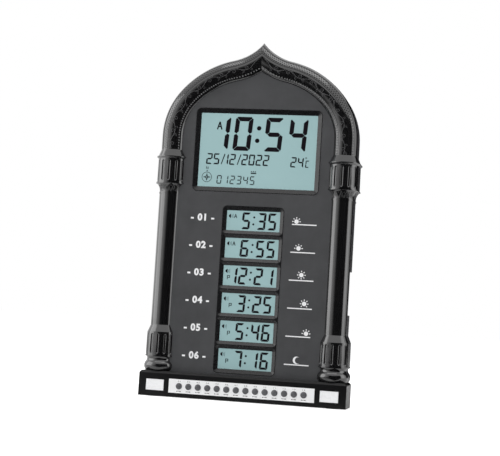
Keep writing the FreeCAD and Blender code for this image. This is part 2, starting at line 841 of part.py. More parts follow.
def row_bezel():
    """The tall surround of the six small displays, with a bar between neighbours."""
    ring = rounded_plate(0, row_centre_z, bezel_width, bezel_height, row_corner,
                         bezel_front, flange_front)
    flange = rounded_plate(0, row_centre_z, bezel_width + 2 * flange_width, bezel_height,
                           row_corner, flange_front, flange_front + flange_thickness)
    solid = fused([ring, flange])
    for index, z in enumerate(row_places()):
        top = row_bevel_end - bezel_edge if index == 0 else row_bar_bevel
        bottom = row_bevel_end - bezel_edge if index == row_count - 1 else row_bar_bevel
        solid = solid.cut(sloped_window(0, z, row_width, row_height, row_bevel_side - bezel_edge,
                                        top, bottom, row_corner - bezel_edge, bezel_front,
                                        glass_depth))
        solid = solid.cut(block_at(0, z, row_width + 2 * row_glass_border + fit_gap,
                                   row_height + 2 * row_glass_border + fit_gap,
                                   glass_depth, glass_back + 1))
    return solid


def main_display():
    return block_at(0, main_z, main_width + 2 * glass_border, main_height + 2 * glass_border,
                    glass_depth, glass_back)


def row_display(z):
    return block_at(0, z, row_width + 2 * row_glass_border, row_height + 2 * row_glass_border,
                    glass_depth, glass_back)


def zebra_offset(height, border):
    """How far a contact strip lies from the middle of its display."""
    return height / 2 + border - zebra_width / 2 - 0.4


def main_backlight():
    height = 2 * (zebra_offset(main_height, glass_border) - zebra_width / 2 - 0.3)
    return block_at(0, main_z, main_width + 2 * glass_border, height,
                    glass_back, glass_back + backlight_thickness)


def main_zebras():
    """Rubber contact strips along the top and bottom of the large glass."""
    reach = zebra_offset(main_height, glass_border)
    return Part.makeCompound([block_at(0, main_z + side * reach, main_width - 4.0, zebra_width,
                                       glass_back, board_depth) for side in (1, -1)])


def row_zebras():
    reach = zebra_offset(row_height, row_glass_border)
    return Part.makeCompound([block_at(0, z + reach, row_width - 4.0, zebra_width,
                                       glass_back, board_depth) for z in row_places()])


def row_backlights():
    top = zebra_offset(row_height, row_glass_border) - zebra_width / 2 - 0.3
    bottom = -row_height / 2 - row_glass_border
    return Part.makeCompound([block_at(0, z + (top + bottom) / 2, row_width + 2 * row_glass_border,
                                       top - bottom, glass_back, glass_back + backlight_thickness)
                              for z in row_places()])


row_board_top = row_centre_z + bezel_height / 2 + 2.0
row_board_bottom = case_bottom + case_wall + 1.0
main_board_bottom = row_board_top + 1.0


def board_holes(places):
    return [rod_y(small_screw_radius + 0.2, board_depth - 1, board_back + 1, x, z) for x, z in places]


def main_board():
    """The upper circuit board, with its clock chip and the plug-in header to the lower board."""
    plate = box(-main_board_half, main_board_half, board_depth, board_back,
                main_board_bottom, main_z + 50.0)
    chip = block_at(-30.0, main_z, 16.0, 16.0, board_back, board_back + 1.8)
    crystal = block_at(-5.0, main_z + 6.0, 9.0, 4.0, board_back, board_back + 3.0)
    header = block_at(45.0, main_board_bottom + 4.0, 30.0, 5.0, board_back, board_back + 4.0)
    return fused([plate, chip, crystal, header]).cut(Part.makeCompound(board_holes(board_screw_places())))


def row_board():
    """The lower circuit board behind the six small displays, with the ribbon's socket."""
    plate = box(-row_board_half, row_board_half, board_depth, board_back,
                row_board_bottom, row_board_top)
    socket = box(-ribbon_width / 2 - 2, ribbon_width / 2 + 2, board_back, board_back + 2.2,
                 row_board_bottom + 12.0, row_board_bottom + 17.0)
    driver = block_at(0, row_board_top - 30.0, 14.0, 14.0, board_back, board_back + 1.6)
    return fused([plate, socket, driver]).cut(Part.makeCompound(board_holes(board_screw_places())))


def small_screw(x, z, seat, reach):
    """A pan-head screw driven forwards, its head behind the seat."""
    head = rod_y(small_screw_head, seat, seat + small_screw_head_height, x, z)
    return fused([head, rod_y(small_screw_radius, seat - reach, seat, x, z)])


def board_screws():
    screws = [small_screw(x, z, board_back, board_back - flange_front - 0.6)
              for x, z in board_screw_places()]
    screws += [small_screw(x, z, key_board_back, key_board_back - plinth_wall - 0.4)
               for x, z in key_board_screw_places()]
    return Part.makeCompound(screws)


def trim_screws():
    columns, arches = trim_screw_places()
    screws = []
    for x, z in columns + arches:
        screws += both_sides(small_screw(x, z, rim_back_depth, rim_back_depth - trim_pilot_depth - 0.5))
    return Part.makeCompound(screws)


def case_screws():
    """The screws at the bottom of the rear posts."""
    screws = []
    for x, z in case_screw_places():
        head = rod_y(case_screw_head, screw_seat_depth, screw_seat_depth + case_screw_head_height, x, z)
        slot = block_at(x, z, 3.6, 0.8, screw_seat_depth + 1.2, screw_seat_depth + 5)
        shank = rod_y(case_screw_radius, screw_seat_depth - case_screw_reach, screw_seat_depth, x, z)
        screws.append(fused([head, shank]).cut(slot))
    return Part.makeCompound(screws)


def key_places():
    """X of each button, from the left."""
    return [(index - (key_count - 1) / 2) * key_pitch for index in range(key_count)]


def key_board_screw_places():
    side = strip_width / 2 + (lamp_x - lamp_width / 2 - strip_width / 2) / 2
    return [(side, key_z), (-side, key_z), (0.0, key_board_high - 2.3)]


def plinth_screw_places():
    """Where screws hold the plinth's bottom plate: x and depth."""
    return [(sx * x, half_depth) for sx in (1, -1) for x in (plinth_half - 12.0, 40.0)]


def plinth_housing():
    """The hollow plinth, chamfered along its top edge and open below, with its front openings."""
    solid = box(-plinth_half, plinth_half, 0, case_depth, pad_proud, case_bottom)
    top_edges = [edge for edge in solid.Edges
                 if edge.BoundBox.ZMin > case_bottom - 0.01 and edge.BoundBox.YMin < y_at(case_depth) - 1]
    solid = solid.makeChamfer(plinth_chamfer, top_edges)
    upright = [edge for edge in solid.Edges
               if abs(edge.BoundBox.ZMin - pad_proud) < 0.01 and edge.BoundBox.ZLength > 1]
    solid = solid.makeFillet(0.8, upright)
    inner = plinth_half - plinth_wall
    solid = solid.cut(box(-inner, inner, plinth_wall, case_depth - plinth_wall,
                          pad_proud - 1, case_bottom - plinth_wall))
    bosses = [rod_z(boss_radius, pad_proud + plinth_bottom_thickness, case_bottom - 1, x, depth)
              for x, depth in plinth_screw_places()]
    bosses += [rod_y(2.2, plinth_wall - 1, key_board_depth, x, z) for x, z in key_board_screw_places()]
    solid = fused([solid] + bosses)
    tools = [block_at(0, key_z, strip_width + 2 * fit_gap, strip_height + 2 * fit_gap,
                      -1, strip_thickness)]
    tools += [block_at(side * lamp_x, key_z, lamp_width + 2 * fit_gap, lamp_height + 2 * fit_gap,
                       -1, plinth_wall + 1) for side in (1, -1)]
    tools += [rod_y(key_radius + key_clearance, -1, plinth_wall + 1, x, key_z) for x in key_places()]
    tools += [rod_z(case_screw_radius + 0.25, case_bottom - plinth_wall - 1, case_bottom + 1, x, depth)
              for x, depth in base_screw_places()]
    tools += [rod_z(small_screw_radius + pilot_gap, pad_proud, case_bottom - plinth_wall, x, depth)
              for x, depth in plinth_screw_places()]
    tools += [rod_y(small_screw_radius + pilot_gap, plinth_wall, key_board_depth + 1, x, z)
              for x, z in key_board_screw_places()]
    tools.append(box(-ribbon_width / 2 - 1, ribbon_width / 2 + 1, board_back - 1.6, board_back + 2.4,
                     case_bottom - plinth_wall - 1, case_bottom + 1))
    return solid.cut(Part.makeCompound(tools))


def pad_places():
    """Where the four rubber pads stand under the base: x and depth."""
    reach = half_depth - plinth_wall - fit_gap - pad_margin - pad_radius
    return [(sx * (plinth_half - 16.0), half_depth + sd * reach) for sx in (1, -1) for sd in (1, -1)]


def plinth_bottom():
    """The plate that closes the plinth from below, recessed for the pads."""
    inner = plinth_half - plinth_wall - fit_gap
    plate = box(-inner, inner, plinth_wall + fit_gap, case_depth - plinth_wall - fit_gap,
                pad_proud, pad_proud + plinth_bottom_thickness)
    tools = [rod_z(pad_radius + fit_gap, pad_proud - 1, pad_proud + pad_sunk, x, depth)
             for x, depth in pad_places()]
    tools += [rod_z(small_screw_radius + 0.3, 0, 9, x, depth) for x, depth in plinth_screw_places()]
    return plate.cut(Part.makeCompound(tools))


def rubber_pads():
    return Part.makeCompound([rod_z(pad_radius, 0, pad_proud + pad_sunk, x, depth)
                              for x, depth in pad_places()])


def upward_screw(x, depth, seat, reach, radius, head_radius, head_height):
    """A screw driven upwards, its head under the seat."""
    head = rod_z(head_radius, seat - head_height, seat, x, depth)
    return fused([head, rod_z(radius, seat, seat + reach, x, depth)])


def base_screws():
    """Four screws from the plinth up into the case."""
    seat = case_bottom - plinth_wall
    return Part.makeCompound([upward_screw(x, depth, seat, 11.0, case_screw_radius, case_screw_head,
                                           case_screw_head_height)
                              for x, depth in base_screw_places()])


def plinth_screws():
    """Four flush screws that hold the bottom plate."""
    screws = []
    for x, depth in plinth_screw_places():
        screws.append(upward_screw(x, depth, pad_proud, 12.0, small_screw_radius, small_screw_head, 0.4))
    return Part.makeCompound(screws)


def key_strip():
    """The pale strip that the buttons stand in."""
    strip = block_at(0, key_z, strip_width, strip_height, 0, strip_thickness)
    return strip.cut(Part.makeCompound([rod_y(key_radius + key_clearance, -1, strip_thickness + 1,
                                              x, key_z) for x in key_places()]))


def key(x):
    """One domed push button with its flange behind the wall and a stem to its switch."""
    flange_face = plinth_wall + pilot_gap
    shoulder = -key_proud + key_dome
    sphere_radius = (key_radius ** 2 + key_dome ** 2) / (2 * key_dome)
    dome = Part.makeSphere(sphere_radius, Vector(x, y_at(-key_proud + sphere_radius), key_z))
    dome = dome.common(rod_y(key_radius, -key_proud - 1, shoulder, x, key_z))
    cap = rod_y(key_radius, shoulder, flange_face, x, key_z)
    flange = rod_y(key_flange_radius, flange_face, flange_face + key_flange, x, key_z)
    stem = rod_y(key_stem_radius, flange_face + key_flange, flange_face + key_flange + key_stem,
                 x, key_z)
    return fused([dome, cap, flange, stem])


def tact_switches():
    """One small switch behind each button."""
    body_face = key_board_depth - switch_body
    switches = []
    for x in key_places():
        body = block_at(x, key_z, switch_size, switch_size, body_face, key_board_depth)
        plunger = rod_y(switch_plunger_radius, body_face - switch_plunger, body_face, x, key_z)
        switches.append(fused([body, plunger]))
    return Part.makeCompound(switches)


def lamp_window(side):
    """A milky window with a flange behind the plinth's front wall."""
    x = side * lamp_x
    face = block_at(x, key_z, lamp_width, lamp_height, lamp_recess, plinth_wall)
    flange = block_at(x, key_z, lamp_width + 2 * lamp_lip, lamp_height + 2 * lamp_lip,
                      plinth_wall, plinth_wall + 1.0)
    return fused([face, flange])


def lamp_leds():
    """Two small lights on the board behind each window."""
    return Part.makeCompound([block_at(side * lamp_x + shift, key_z, 3.5, 2.8,
                                       key_board_depth - 1.4, key_board_depth)
                              for side in (1, -1) for shift in (-5.0, 5.0)])


def key_board():
    """The narrow board behind the buttons, with the ribbon's socket on its back."""
    plate = box(-key_board_half, key_board_half, key_board_depth, key_board_back,
                key_board_low, key_board_high)
    socket = box(-ribbon_width / 2 - 2, ribbon_width / 2 + 2, key_board_back,
                 key_board_back + socket_depth, ribbon_low - 1.5, ribbon_low + 1.5)
    holes = [rod_y(small_screw_radius + 0.2, key_board_depth - 1, key_board_back + 1, x, z)
             for x, z in key_board_screw_places()]
    return fused([plate, socket]).cut(Part.makeCompound(holes))


def board_ribbon():
    """The flat ribbon from the button board back and up to the lower display board."""
    upright_depth = board_back + 0.1
    flat = box(-ribbon_width / 2, ribbon_width / 2, key_board_back + socket_depth,
               upright_depth + ribbon_thickness, ribbon_low, ribbon_low + ribbon_thickness)
    upright = box(-ribbon_width / 2, ribbon_width / 2, upright_depth,
                  upright_depth + ribbon_thickness, ribbon_low, row_board_bottom + 12.0)
    return fused([flat, upright])


def speaker_frame():
    """The loudspeaker's dished basket, its flange against the grille wall."""
    rim_back = case_depth - case_wall
    rim = 1.4
    neck = rim_back - speaker_depth * 0.55
    outer = Part.makeCone(speaker_radius * 0.55, speaker_radius - 3.0, rim_back - rim - neck,
                          Vector(0, y_at(neck), speaker_z), Vector(0, 1, 0))
    inner = Part.makeCone(speaker_radius * 0.55 - 1.0, speaker_radius - 4.0, rim_back - rim - neck,
                          Vector(0, y_at(neck + 1.0), speaker_z), Vector(0, 1, 0))
    flange = rod_y(speaker_radius, rim_back - rim, rim_back, 0, speaker_z)
    flange = flange.cut(rod_y(speaker_radius - 3.5, rim_back - rim - 1, rim_back + 1, 0, speaker_z))
    return fused([outer.cut(inner), flange])


def speaker_magnet():
    neck = case_depth - case_wall - speaker_depth * 0.55
    return rod_y(speaker_radius * 0.5, case_depth - case_wall - speaker_depth, neck, 0, speaker_z)


def speaker_cone():
    """The paper cone, its flat surround and its dust cap inside the basket."""
    rim_back = case_depth - case_wall
    neck = rim_back - speaker_depth * 0.55 + 1.0
    front = rim_back - 0.5
    run = front - neck
    wide = speaker_radius - 7.5
    outer = Part.makeCone(6.0, wide, run, Vector(0, y_at(neck), speaker_z), Vector(0, 1, 0))
    inner = Part.makeCone(6.0, wide, run, Vector(0, y_at(neck + 0.6), speaker_z), Vector(0, 1, 0))
    surround = rod_y(speaker_radius - 3.55, front - 0.6, front, 0, speaker_z)
    surround = surround.cut(rod_y(wide - 0.7, front - 1, front + 1, 0, speaker_z))
    cap = rod_y(8.0, neck + 0.3, neck + 1.6, 0, speaker_z)
    return fused([outer.cut(inner), surround, cap])


def speaker_clips():
    """Three plates that press the loudspeaker's flange to the back wall."""
    clips = []
    seat = case_depth - case_wall - 1.4
    for x, z in speaker_clip_places():
        toward = Vector(-x, 0, speaker_z - z).normalize() * 2.2
        plate = fused([rod_y(3.6, seat - 0.8, seat, x, z),
                       rod_y(3.6, seat - 0.8, seat, x + toward.x, z + toward.z)])
        clips.append(plate.cut(rod_y(small_screw_radius + 0.2, seat - 2, seat + 1, x, z)))
    return Part.makeCompound(clips)


def speaker_screws():
    """Screws of the clips and of the side board, driven backwards."""
    seats = [(x, z, case_depth - case_wall - 2.2, 3.0) for x, z in speaker_clip_places()]
    seats += [(x, z, side_board_depth, board_thickness + 5.0) for x, z in side_board_posts]
    screws = []
    for x, z, seat, reach in seats:
        head = rod_y(small_screw_head, seat - small_screw_head_height, seat, x, z)
        screws.append(fused([head, rod_y(small_screw_radius, seat, seat + reach, x, z)]))
    return Part.makeCompound(screws)


def side_board():
    """The small upright board that carries the side controls."""
    plate = box(board_edge_x - side_board_width, board_edge_x, side_board_depth, side_board_back,
                side_bay_bottom - 1.0, side_bay_top + 1.0)
    holes = [rod_y(small_screw_radius + 0.2, side_board_depth - 1, side_board_back + 1, x, z)
             for x, z in side_board_posts]
    return plate.cut(Part.makeCompound(holes))


def volume_pot():
    """The volume control's body and the spindle that its wheel turns on."""
    body = rod_y(pot_radius, controls_depth + wheel_thickness / 2 + 0.3, side_board_depth,
                 wheel_x, wheel_z)
    spindle = rod_y(spindle_radius, controls_depth - wheel_thickness / 2 - 0.6,
                    side_board_depth - 1, wheel_x, wheel_z)
    return fused([body, spindle])


def volume_wheel():
    """The thumb wheel, with a groove between each pair of its teeth."""
    d0 = controls_depth - wheel_thickness / 2
    d1 = controls_depth + wheel_thickness / 2
    wheel = rod_y(wheel_radius, d0, d1, wheel_x, wheel_z)
    tools = [rod_y(spindle_radius + 0.05, d0 - 1, d1 + 1, wheel_x, wheel_z)]
    for index in range(wheel_teeth):
        angle = 2 * math.pi * index / wheel_teeth
        tools.append(rod_y(0.45, d0 - 1, d1 + 1, wheel_x + wheel_radius * math.cos(angle),
                           wheel_z + wheel_radius * math.sin(angle)))
    return wheel.cut(Part.makeCompound(tools))


def slide_switch():
    """The slide switch's fixed body, with a guide slot for its knob."""
    body = box(slide_body_x - 6.0, slide_body_x, controls_depth - 3.0, side_board_depth,
               slide_z - 5.4, slide_z + 5.4)
    slot = box(slide_body_x - 2.0, slide_body_x + 1, controls_depth - 1.1, controls_depth + 1.1,
               slide_z - slide_travel / 2 - 1.6, slide_z + slide_travel / 2 + 1.6)
    return body.cut(slot)


def slide_knob():
    """The knob at the lower end of its travel, its root in the switch body's guide slot."""
    middle = slide_z - slide_travel / 2
    root = box(slide_body_x - 1.8, slide_body_x + 0.3, controls_depth - 1.05, controls_depth + 1.05,
               middle - 1.5, middle + 1.5)
    grip = box(slide_body_x + 0.3, bay_wall_x + 1.8, controls_depth - 1.05, controls_depth + 1.05,
               middle - 1.5, middle + 1.5)
    return fused([root, grip])


def power_jack():
    """The power inlet: a body, a round collar through the bay's wall and a centre pin."""
    body = box(board_edge_x - jack_length, board_edge_x + 0.4, controls_depth - jack_half,
               side_board_depth, jack_z - jack_half, jack_z + jack_half)
    collar = rod_x(jack_half - 0.5, board_edge_x, bay_wall_x + 1.2, controls_depth, jack_z)
    bore = rod_x(jack_bore, board_edge_x - jack_length + 3.0, bay_wall_x + 2, controls_depth, jack_z)
    pin = rod_x(jack_pin, board_edge_x - jack_length + 2.5, bay_wall_x - 0.5, controls_depth, jack_z)
    return fused([fused([body, collar]).cut(bore), pin])


def audio_jack():
    """The earphone socket beside the volume wheel."""
    body = box(board_edge_x - audio_length, board_edge_x + 0.4, controls_depth - audio_half,
               side_board_depth, audio_z - audio_half, audio_z + audio_half)
    collar = rod_x(audio_half - 0.6, board_edge_x, bay_wall_x + 1.0, controls_depth, audio_z)
    bore = rod_x(audio_bore, board_edge_x - audio_length + 1.4, bay_wall_x + 2, controls_depth, audio_z)
    return fused([body, collar]).cut(bore)


def all_parts():
    """Every node's name and its shape."""
    parts = {
        "front_shell": front_shell(),
        "front_panel": front_panel(),
        "arch_moulding": arch_moulding(),
        "column_left": column(-1),
        "column_right": column(1),
        "rear_cover": rear_cover(),
        "battery_door": battery_door(),
        "battery_cells": battery_cells(),
        "battery_contacts": battery_contacts(),
        "plinth_housing": plinth_housing(),
        "plinth_bottom": plinth_bottom(),
        "rubber_pads": rubber_pads(),
        "key_strip": key_strip(),
        "key_board": key_board(),
        "tact_switches": tact_switches(),
        "lamp_window_left": lamp_window(-1),
        "lamp_window_right": lamp_window(1),
        "lamp_leds": lamp_leds(),
        "board_ribbon": board_ribbon(),
        "main_bezel": main_bezel(),
        "main_display": main_display(),
        "main_backlight": main_backlight(),
        "main_zebras": main_zebras(),
        "main_board": main_board(),
        "row_bezel": row_bezel(),
        "row_backlights": row_backlights(),
        "row_zebras": row_zebras(),
        "row_board": row_board(),
        "board_screws": board_screws(),
        "trim_screws": trim_screws(),
        "case_screws": case_screws(),
        "base_screws": base_screws(),
        "plinth_screws": plinth_screws(),
        "speaker_frame": speaker_frame(),
        "speaker_magnet": speaker_magnet(),
        "speaker_cone": speaker_cone(),
        "speaker_clips": speaker_clips(),
        "speaker_screws": speaker_screws(),
        "side_board": side_board(),
        "volume_pot": volume_pot(),
        "volume_wheel": volume_wheel(),
        "slide_switch": slide_switch(),
        "slide_knob": slide_knob(),
        "power_jack": power_jack(),
        "audio_jack": audio_jack(),
    }
    parts["row_displays"] = Part.makeCompound([row_display(z) for z in row_places()])
    for index, x in enumerate(key_places()):
        parts["key_%02d" % (index + 1)] = key(x)
    return parts


os.makedirs("parts", exist_ok=True)
for node, shape in all_parts().items():
    shape.exportStep("parts/%s.step" % node)
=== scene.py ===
import json
import math

import bpy
import numpy as np
from mathutils import Matrix, Vector


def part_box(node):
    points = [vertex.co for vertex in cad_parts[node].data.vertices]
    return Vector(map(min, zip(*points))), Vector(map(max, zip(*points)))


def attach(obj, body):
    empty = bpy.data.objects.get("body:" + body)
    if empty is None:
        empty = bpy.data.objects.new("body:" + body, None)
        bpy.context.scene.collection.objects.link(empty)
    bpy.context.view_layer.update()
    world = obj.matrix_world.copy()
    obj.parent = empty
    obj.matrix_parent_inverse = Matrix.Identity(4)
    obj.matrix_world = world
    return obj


# An azan clock: an arched case between turned columns on a plinth.
# Sizes are metres, in the clock's own frame: the front faces -Y, Z is up, and the table is at zero.

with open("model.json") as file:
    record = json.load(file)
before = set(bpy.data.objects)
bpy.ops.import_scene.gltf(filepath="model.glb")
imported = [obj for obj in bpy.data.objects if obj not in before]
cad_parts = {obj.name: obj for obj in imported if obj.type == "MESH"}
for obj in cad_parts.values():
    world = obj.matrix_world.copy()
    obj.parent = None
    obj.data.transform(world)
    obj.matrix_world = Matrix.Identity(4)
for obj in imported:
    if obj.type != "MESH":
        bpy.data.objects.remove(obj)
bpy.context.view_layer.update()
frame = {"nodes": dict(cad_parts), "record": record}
nodes = frame["nodes"]

mm = 0.001


def low_corner(node):
    """The lowest corner of a CAD node."""
    return np.array(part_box(node)[0])


def high_corner(node):
    """The highest corner of a CAD node."""
    return np.array(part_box(node)[1])


# Places read from the frame
plinth_low = low_corner("plinth_housing")
arch_low = low_corner("arch_moulding")
column_high = high_corner("column_right")
panel_low = low_corner("front_panel")
strip_low = low_corner("key_strip")
main_low = low_corner("main_display")
rows_low = low_corner("row_displays")
front_y = plinth_low[1]

# The arch's centre line and bar, as in the solids
column_x = 99.5 * mm
bar_radius = 14.4 * mm
axis_y = front_y + 19.0 * mm
springing_z = arch_low[2]
straight_length = 17.5 * mm
side_radius = 67.2 * mm
side_angle = math.radians(40.0)
shoulder_radius = 96.7 * mm
shoulder_angle = math.radians(77.5)
point_radius = 74.1 * mm

# The turned column's own sizes
shaft_radius = 13.4 * mm
neck_waist_radius = 14.2 * mm
neck_top_radius = 16.7 * mm
neck_height = 9.8 * mm
neck_waist_height = neck_height * 0.6
drum_stack_height = 39.3 * mm
neck_foot_z = column_high[2] - drum_stack_height - neck_height

# Displays
main_centre_z = 283.7 * mm
main_glass_y = main_low[1]
row_glass_y = rows_low[1]
row_pitch = 31.36 * mm
first_row_z = 203.7 * mm
row_times = ["5:35", "6:55", "12:21", "3:25", "5:46", "7:16"]
row_count = len(row_times)
film = 0.06 * mm
print_thickness = 0.08 * mm

# Buttons
key_pitch = 10.9 * mm
key_count = 14
key_z = 13.0 * mm


# Materials

# Where the middle range of a noise begins and ends
noise_low = 0.3
noise_high = 0.7
cloud_detail = 3.0
mottle_detail = 4.0
grain_detail = 2.0
mottle_scale_share = 6
grain_strength = 0.6


def new_material(name):
    """A new material, its node tree and its shader."""
    material = bpy.data.materials.new(name)
    material.use_nodes = True
    tree = material.node_tree
    shader = tree.nodes["Principled BSDF"]
    return material, tree, shader


def noise(tree, coordinates, scale, detail):
    """A noise on object coordinates, its scale in turns per metre."""
    node = tree.nodes.new("ShaderNodeTexNoise")
    node.inputs["Scale"].default_value = scale
    node.inputs["Detail"].default_value = detail
    tree.links.new(coordinates, node.inputs["Vector"])
    return node.outputs["Fac"]


def drift(tree, factor, low, high):
    """The noise's middle range carried to lie between two values."""
    node = tree.nodes.new("ShaderNodeMapRange")
    node.inputs["From Min"].default_value = noise_low
    node.inputs["From Max"].default_value = noise_high
    node.inputs["To Min"].default_value = low
    node.inputs["To Max"].default_value = high
    tree.links.new(factor, node.inputs["Value"])
    return node.outputs["Result"]


def tone(tree, factor, dark, light):
    """The noise's middle range as a ramp between two colours."""
    node = tree.nodes.new("ShaderNodeValToRGB")
    node.color_ramp.elements[0].position = noise_low
    node.color_ramp.elements[0].color = (*dark, 1)
    node.color_ramp.elements[1].position = noise_high
    node.color_ramp.elements[1].color = (*light, 1)
    tree.links.new(factor, node.inputs["Fac"])
    return node.outputs["Color"]


def moulded(name, colour, roughness, grain_scale, grain_depth, variation=0.08, metallic=0.0,
            coat=0.0, coat_roughness=0.05, specular=0.5, cloud_scale=45.0, rough_spread=0.05):
    """A moulded or plated surface: a slow cloud drifts its tone and gloss, and a fine grain lifts it."""
    material, tree, shader = new_material(name)
    coordinates = tree.nodes.new("ShaderNodeTexCoord").outputs["Object"]
    cloud = noise(tree, coordinates, cloud_scale, cloud_detail)
    dark = [c * (1 - variation) for c in colour]
    light = [min(1.0, c * (1 + variation)) for c in colour]
    tree.links.new(tone(tree, cloud, dark, light), shader.inputs["Base Color"])
    mottle = noise(tree, coordinates, cloud_scale * mottle_scale_share, mottle_detail)
    tree.links.new(drift(tree, mottle, roughness - rough_spread, roughness + rough_spread),
                   shader.inputs["Roughness"])
    bump = tree.nodes.new("ShaderNodeBump")
    bump.inputs["Strength"].default_value = grain_strength
    bump.inputs["Distance"].default_value = grain_depth
    tree.links.new(noise(tree, coordinates, grain_scale, grain_detail), bump.inputs["Height"])
    tree.links.new(bump.outputs["Normal"], shader.inputs["Normal"])
    shader.inputs["Metallic"].default_value = metallic
    shader.inputs["Coat Weight"].default_value = coat
    shader.inputs["Coat Roughness"].default_value = coat_roughness
    shader.inputs["Specular IOR Level"].default_value = specular
    return material


case_black = moulded("case_black", (0.023, 0.023, 0.025), 0.42, 2600.0, 0.00005, specular=0.5,
                     rough_spread=0.06)
plinth_black = moulded("plinth_black", (0.006, 0.006, 0.0065), 0.34, 2200.0, 0.00002, specular=0.22)
trim_gloss = moulded("trim_gloss", (0.006, 0.006, 0.0065), 0.13, 900.0, 0.000008, variation=0.08,
                     coat=0.6, coat_roughness=0.08, specular=1.0, rough_spread=0.03)
panel_grey = moulded("panel_grey", (0.060, 0.061, 0.064), 0.60, 3200.0, 0.00005, variation=0.10,
                     specular=0.22)
bezel_black = moulded("bezel_black", (0.008, 0.008, 0.009), 0.28, 2600.0, 0.000004, specular=0.50)
display_glass = moulded("display_glass", (0.335, 0.500, 0.512), 0.22, 1500.0, 0.000004,
                        variation=0.025, specular=0.10, cloud_scale=14.0)
button_dark = moulded("button_dark", (0.095, 0.097, 0.103), 0.28, 2400.0, 0.00001)
strip_white = moulded("strip_white", (0.92, 0.925, 0.93), 0.42, 2400.0, 0.00001, variation=0.015)
lamp_milk = moulded("lamp_milk", (0.94, 0.945, 0.955), 0.28, 2000.0, 0.00001, variation=0.015)
board_green = moulded("board_green", (0.020, 0.130, 0.055), 0.40, 1800.0, 0.00003)
screw_steel = moulded("screw_steel", (0.56, 0.56, 0.57), 0.30, 5000.0, 0.00001, metallic=1.0)
pad_rubber = moulded("pad_rubber", (0.020, 0.020, 0.021), 0.75, 3000.0, 0.00006)
control_black = moulded("control_black", (0.017, 0.017, 0.018), 0.45, 3600.0, 0.00004)
light_guide = moulded("light_guide", (0.86, 0.88, 0.86), 0.30, 2000.0, 0.00002, variation=0.03)
ribbon_grey = moulded("ribbon_grey", (0.62, 0.62, 0.64), 0.40, 2000.0, 0.00002)
cone_paper = moulded("cone_paper", (0.018, 0.018, 0.018), 0.85, 2500.0, 0.0001)
cell_wrap = moulded("cell_wrap", (0.060, 0.062, 0.070), 0.28, 1500.0, 0.00001)
figure_ink = moulded("figure_ink", (0.007, 0.005, 0.008), 0.40, 1500.0, 0.000004, variation=0.2,
                     specular=0.10)
print_white = moulded("print_white", (0.84, 0.84, 0.85), 0.50, 4000.0, 0.00001, variation=0.03)
print_grey = moulded("print_grey", (0.16, 0.16, 0.17), 0.50, 4000.0, 0.00001, variation=0.10)
relief_silver = moulded("relief_silver", (0.075, 0.075, 0.078), 0.35, 3000.0, 0.00001, specular=0.8)
relief_dark = moulded("relief_dark", (0.006, 0.006, 0.0065), 0.55, 3000.0, 0.00001, specular=0.08)
# The beads' grey base colour, far paler than the trim's black, is a painted glint; their coat gives real
# reflections as well.
bead_painted_glint = moulded("bead_painted_glint", (0.10, 0.10, 0.102), 0.20, 3000.0, 0.00001, coat=1.0,
                     specular=1.0)
# The neck relief's grey base colour, paler than the trim's black, is painted sheen that makes it show; its
# coat gives real reflections as well.
leaf_painted_sheen = moulded("leaf_painted_sheen", (0.055, 0.055, 0.057), 0.22, 3000.0, 0.00001, coat=0.6,
                     specular=1.0)

slot_finish = {
    "case_black": case_black, "plinth_black": plinth_black, "trim_gloss": trim_gloss,
    "panel_grey": panel_grey, "bezel_black": bezel_black, "display_glass": display_glass,
    "button_dark": button_dark, "strip_white": strip_white, "lamp_milk": lamp_milk,
    "board_green": board_green, "steel": screw_steel, "pad_rubber": pad_rubber,
    "control_black": control_black, "light_guide": light_guide, "ribbon_grey": ribbon_grey,
    "cone_paper": cone_paper, "cell_wrap": cell_wrap,
}
for part in frame["record"]["subparts"]:
    mesh = nodes[part["node"]].data
    mesh.materials.clear()
    mesh.materials.append(slot_finish[part["material_slot"]])


# Making pieces

# Directions that no path and no surface here runs along, from which the rings are squared up
strand_guide = [0.3, 1.0, 0.2]
dome_guide = [0.3, 0.2, 1.0]


def add_piece(name, points, faces, material, body="case", slot="trim_gloss", smooth=True):
    """A mesh piece from arrays of points and faces, riding on a body."""
    mesh = bpy.data.meshes.new(name)
    mesh.from_pydata(np.asarray(points).tolist(), [], [list(face) for face in faces])
    mesh.polygons.foreach_set("use_smooth", [smooth] * len(mesh.polygons))
    mesh.materials.append(material)
    mesh.validate()
    mesh.update()
    piece = bpy.data.objects.new(name, mesh)
    bpy.context.scene.collection.objects.link(piece)
    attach(piece, body)
    return piece


def grid_faces(rows, columns, start=0):
    """Quads over a grid of points whose columns close on themselves."""
    i, j = np.meshgrid(np.arange(rows - 1), np.arange(columns), indexing="ij")
    k = (j + 1) % columns
    quads = np.stack([i * columns + j, i * columns + k, (i + 1) * columns + k,
                      (i + 1) * columns + j], axis=-1)
    return quads.reshape(-1, 4) + start


def join(parts):
    """Several pairs of points and faces as one pair."""
    points, faces, start = [], [], 0
    for part_points, part_faces in parts:
        points.append(part_points)
        faces += [[index + start for index in face] for face in part_faces]
        start += len(part_points)
    return np.concatenate(points), faces


def strand(path, radius, sides=6):
    """A round cord along a path: rings about each point, square to the path's direction, with capped ends.
    The radius is a number or one value for each point."""
    path = np.asarray(path, float)
    along = np.gradient(path, axis=0)
    along /= np.linalg.norm(along, axis=1)[:, None]
    across = np.cross(along, strand_guide)
    across /= np.linalg.norm(across, axis=1)[:, None]
    third = np.cross(along, across)
    turn = np.linspace(0, 2 * math.pi, sides, endpoint=False)
    radius = np.broadcast_to(np.asarray(radius, float), (len(path),))
    ring = (np.cos(turn)[None, :, None] * across[:, None, :]
            + np.sin(turn)[None, :, None] * third[:, None, :])
    points = (path[:, None, :] + radius[:, None, None] * ring).reshape(-1, 3)
    faces = [list(face) for face in grid_faces(len(path), sides)]
    faces.append(list(range(sides))[::-1])
    last = (len(path) - 1) * sides
    faces.append([last + index for index in range(sides)])
    return points, faces


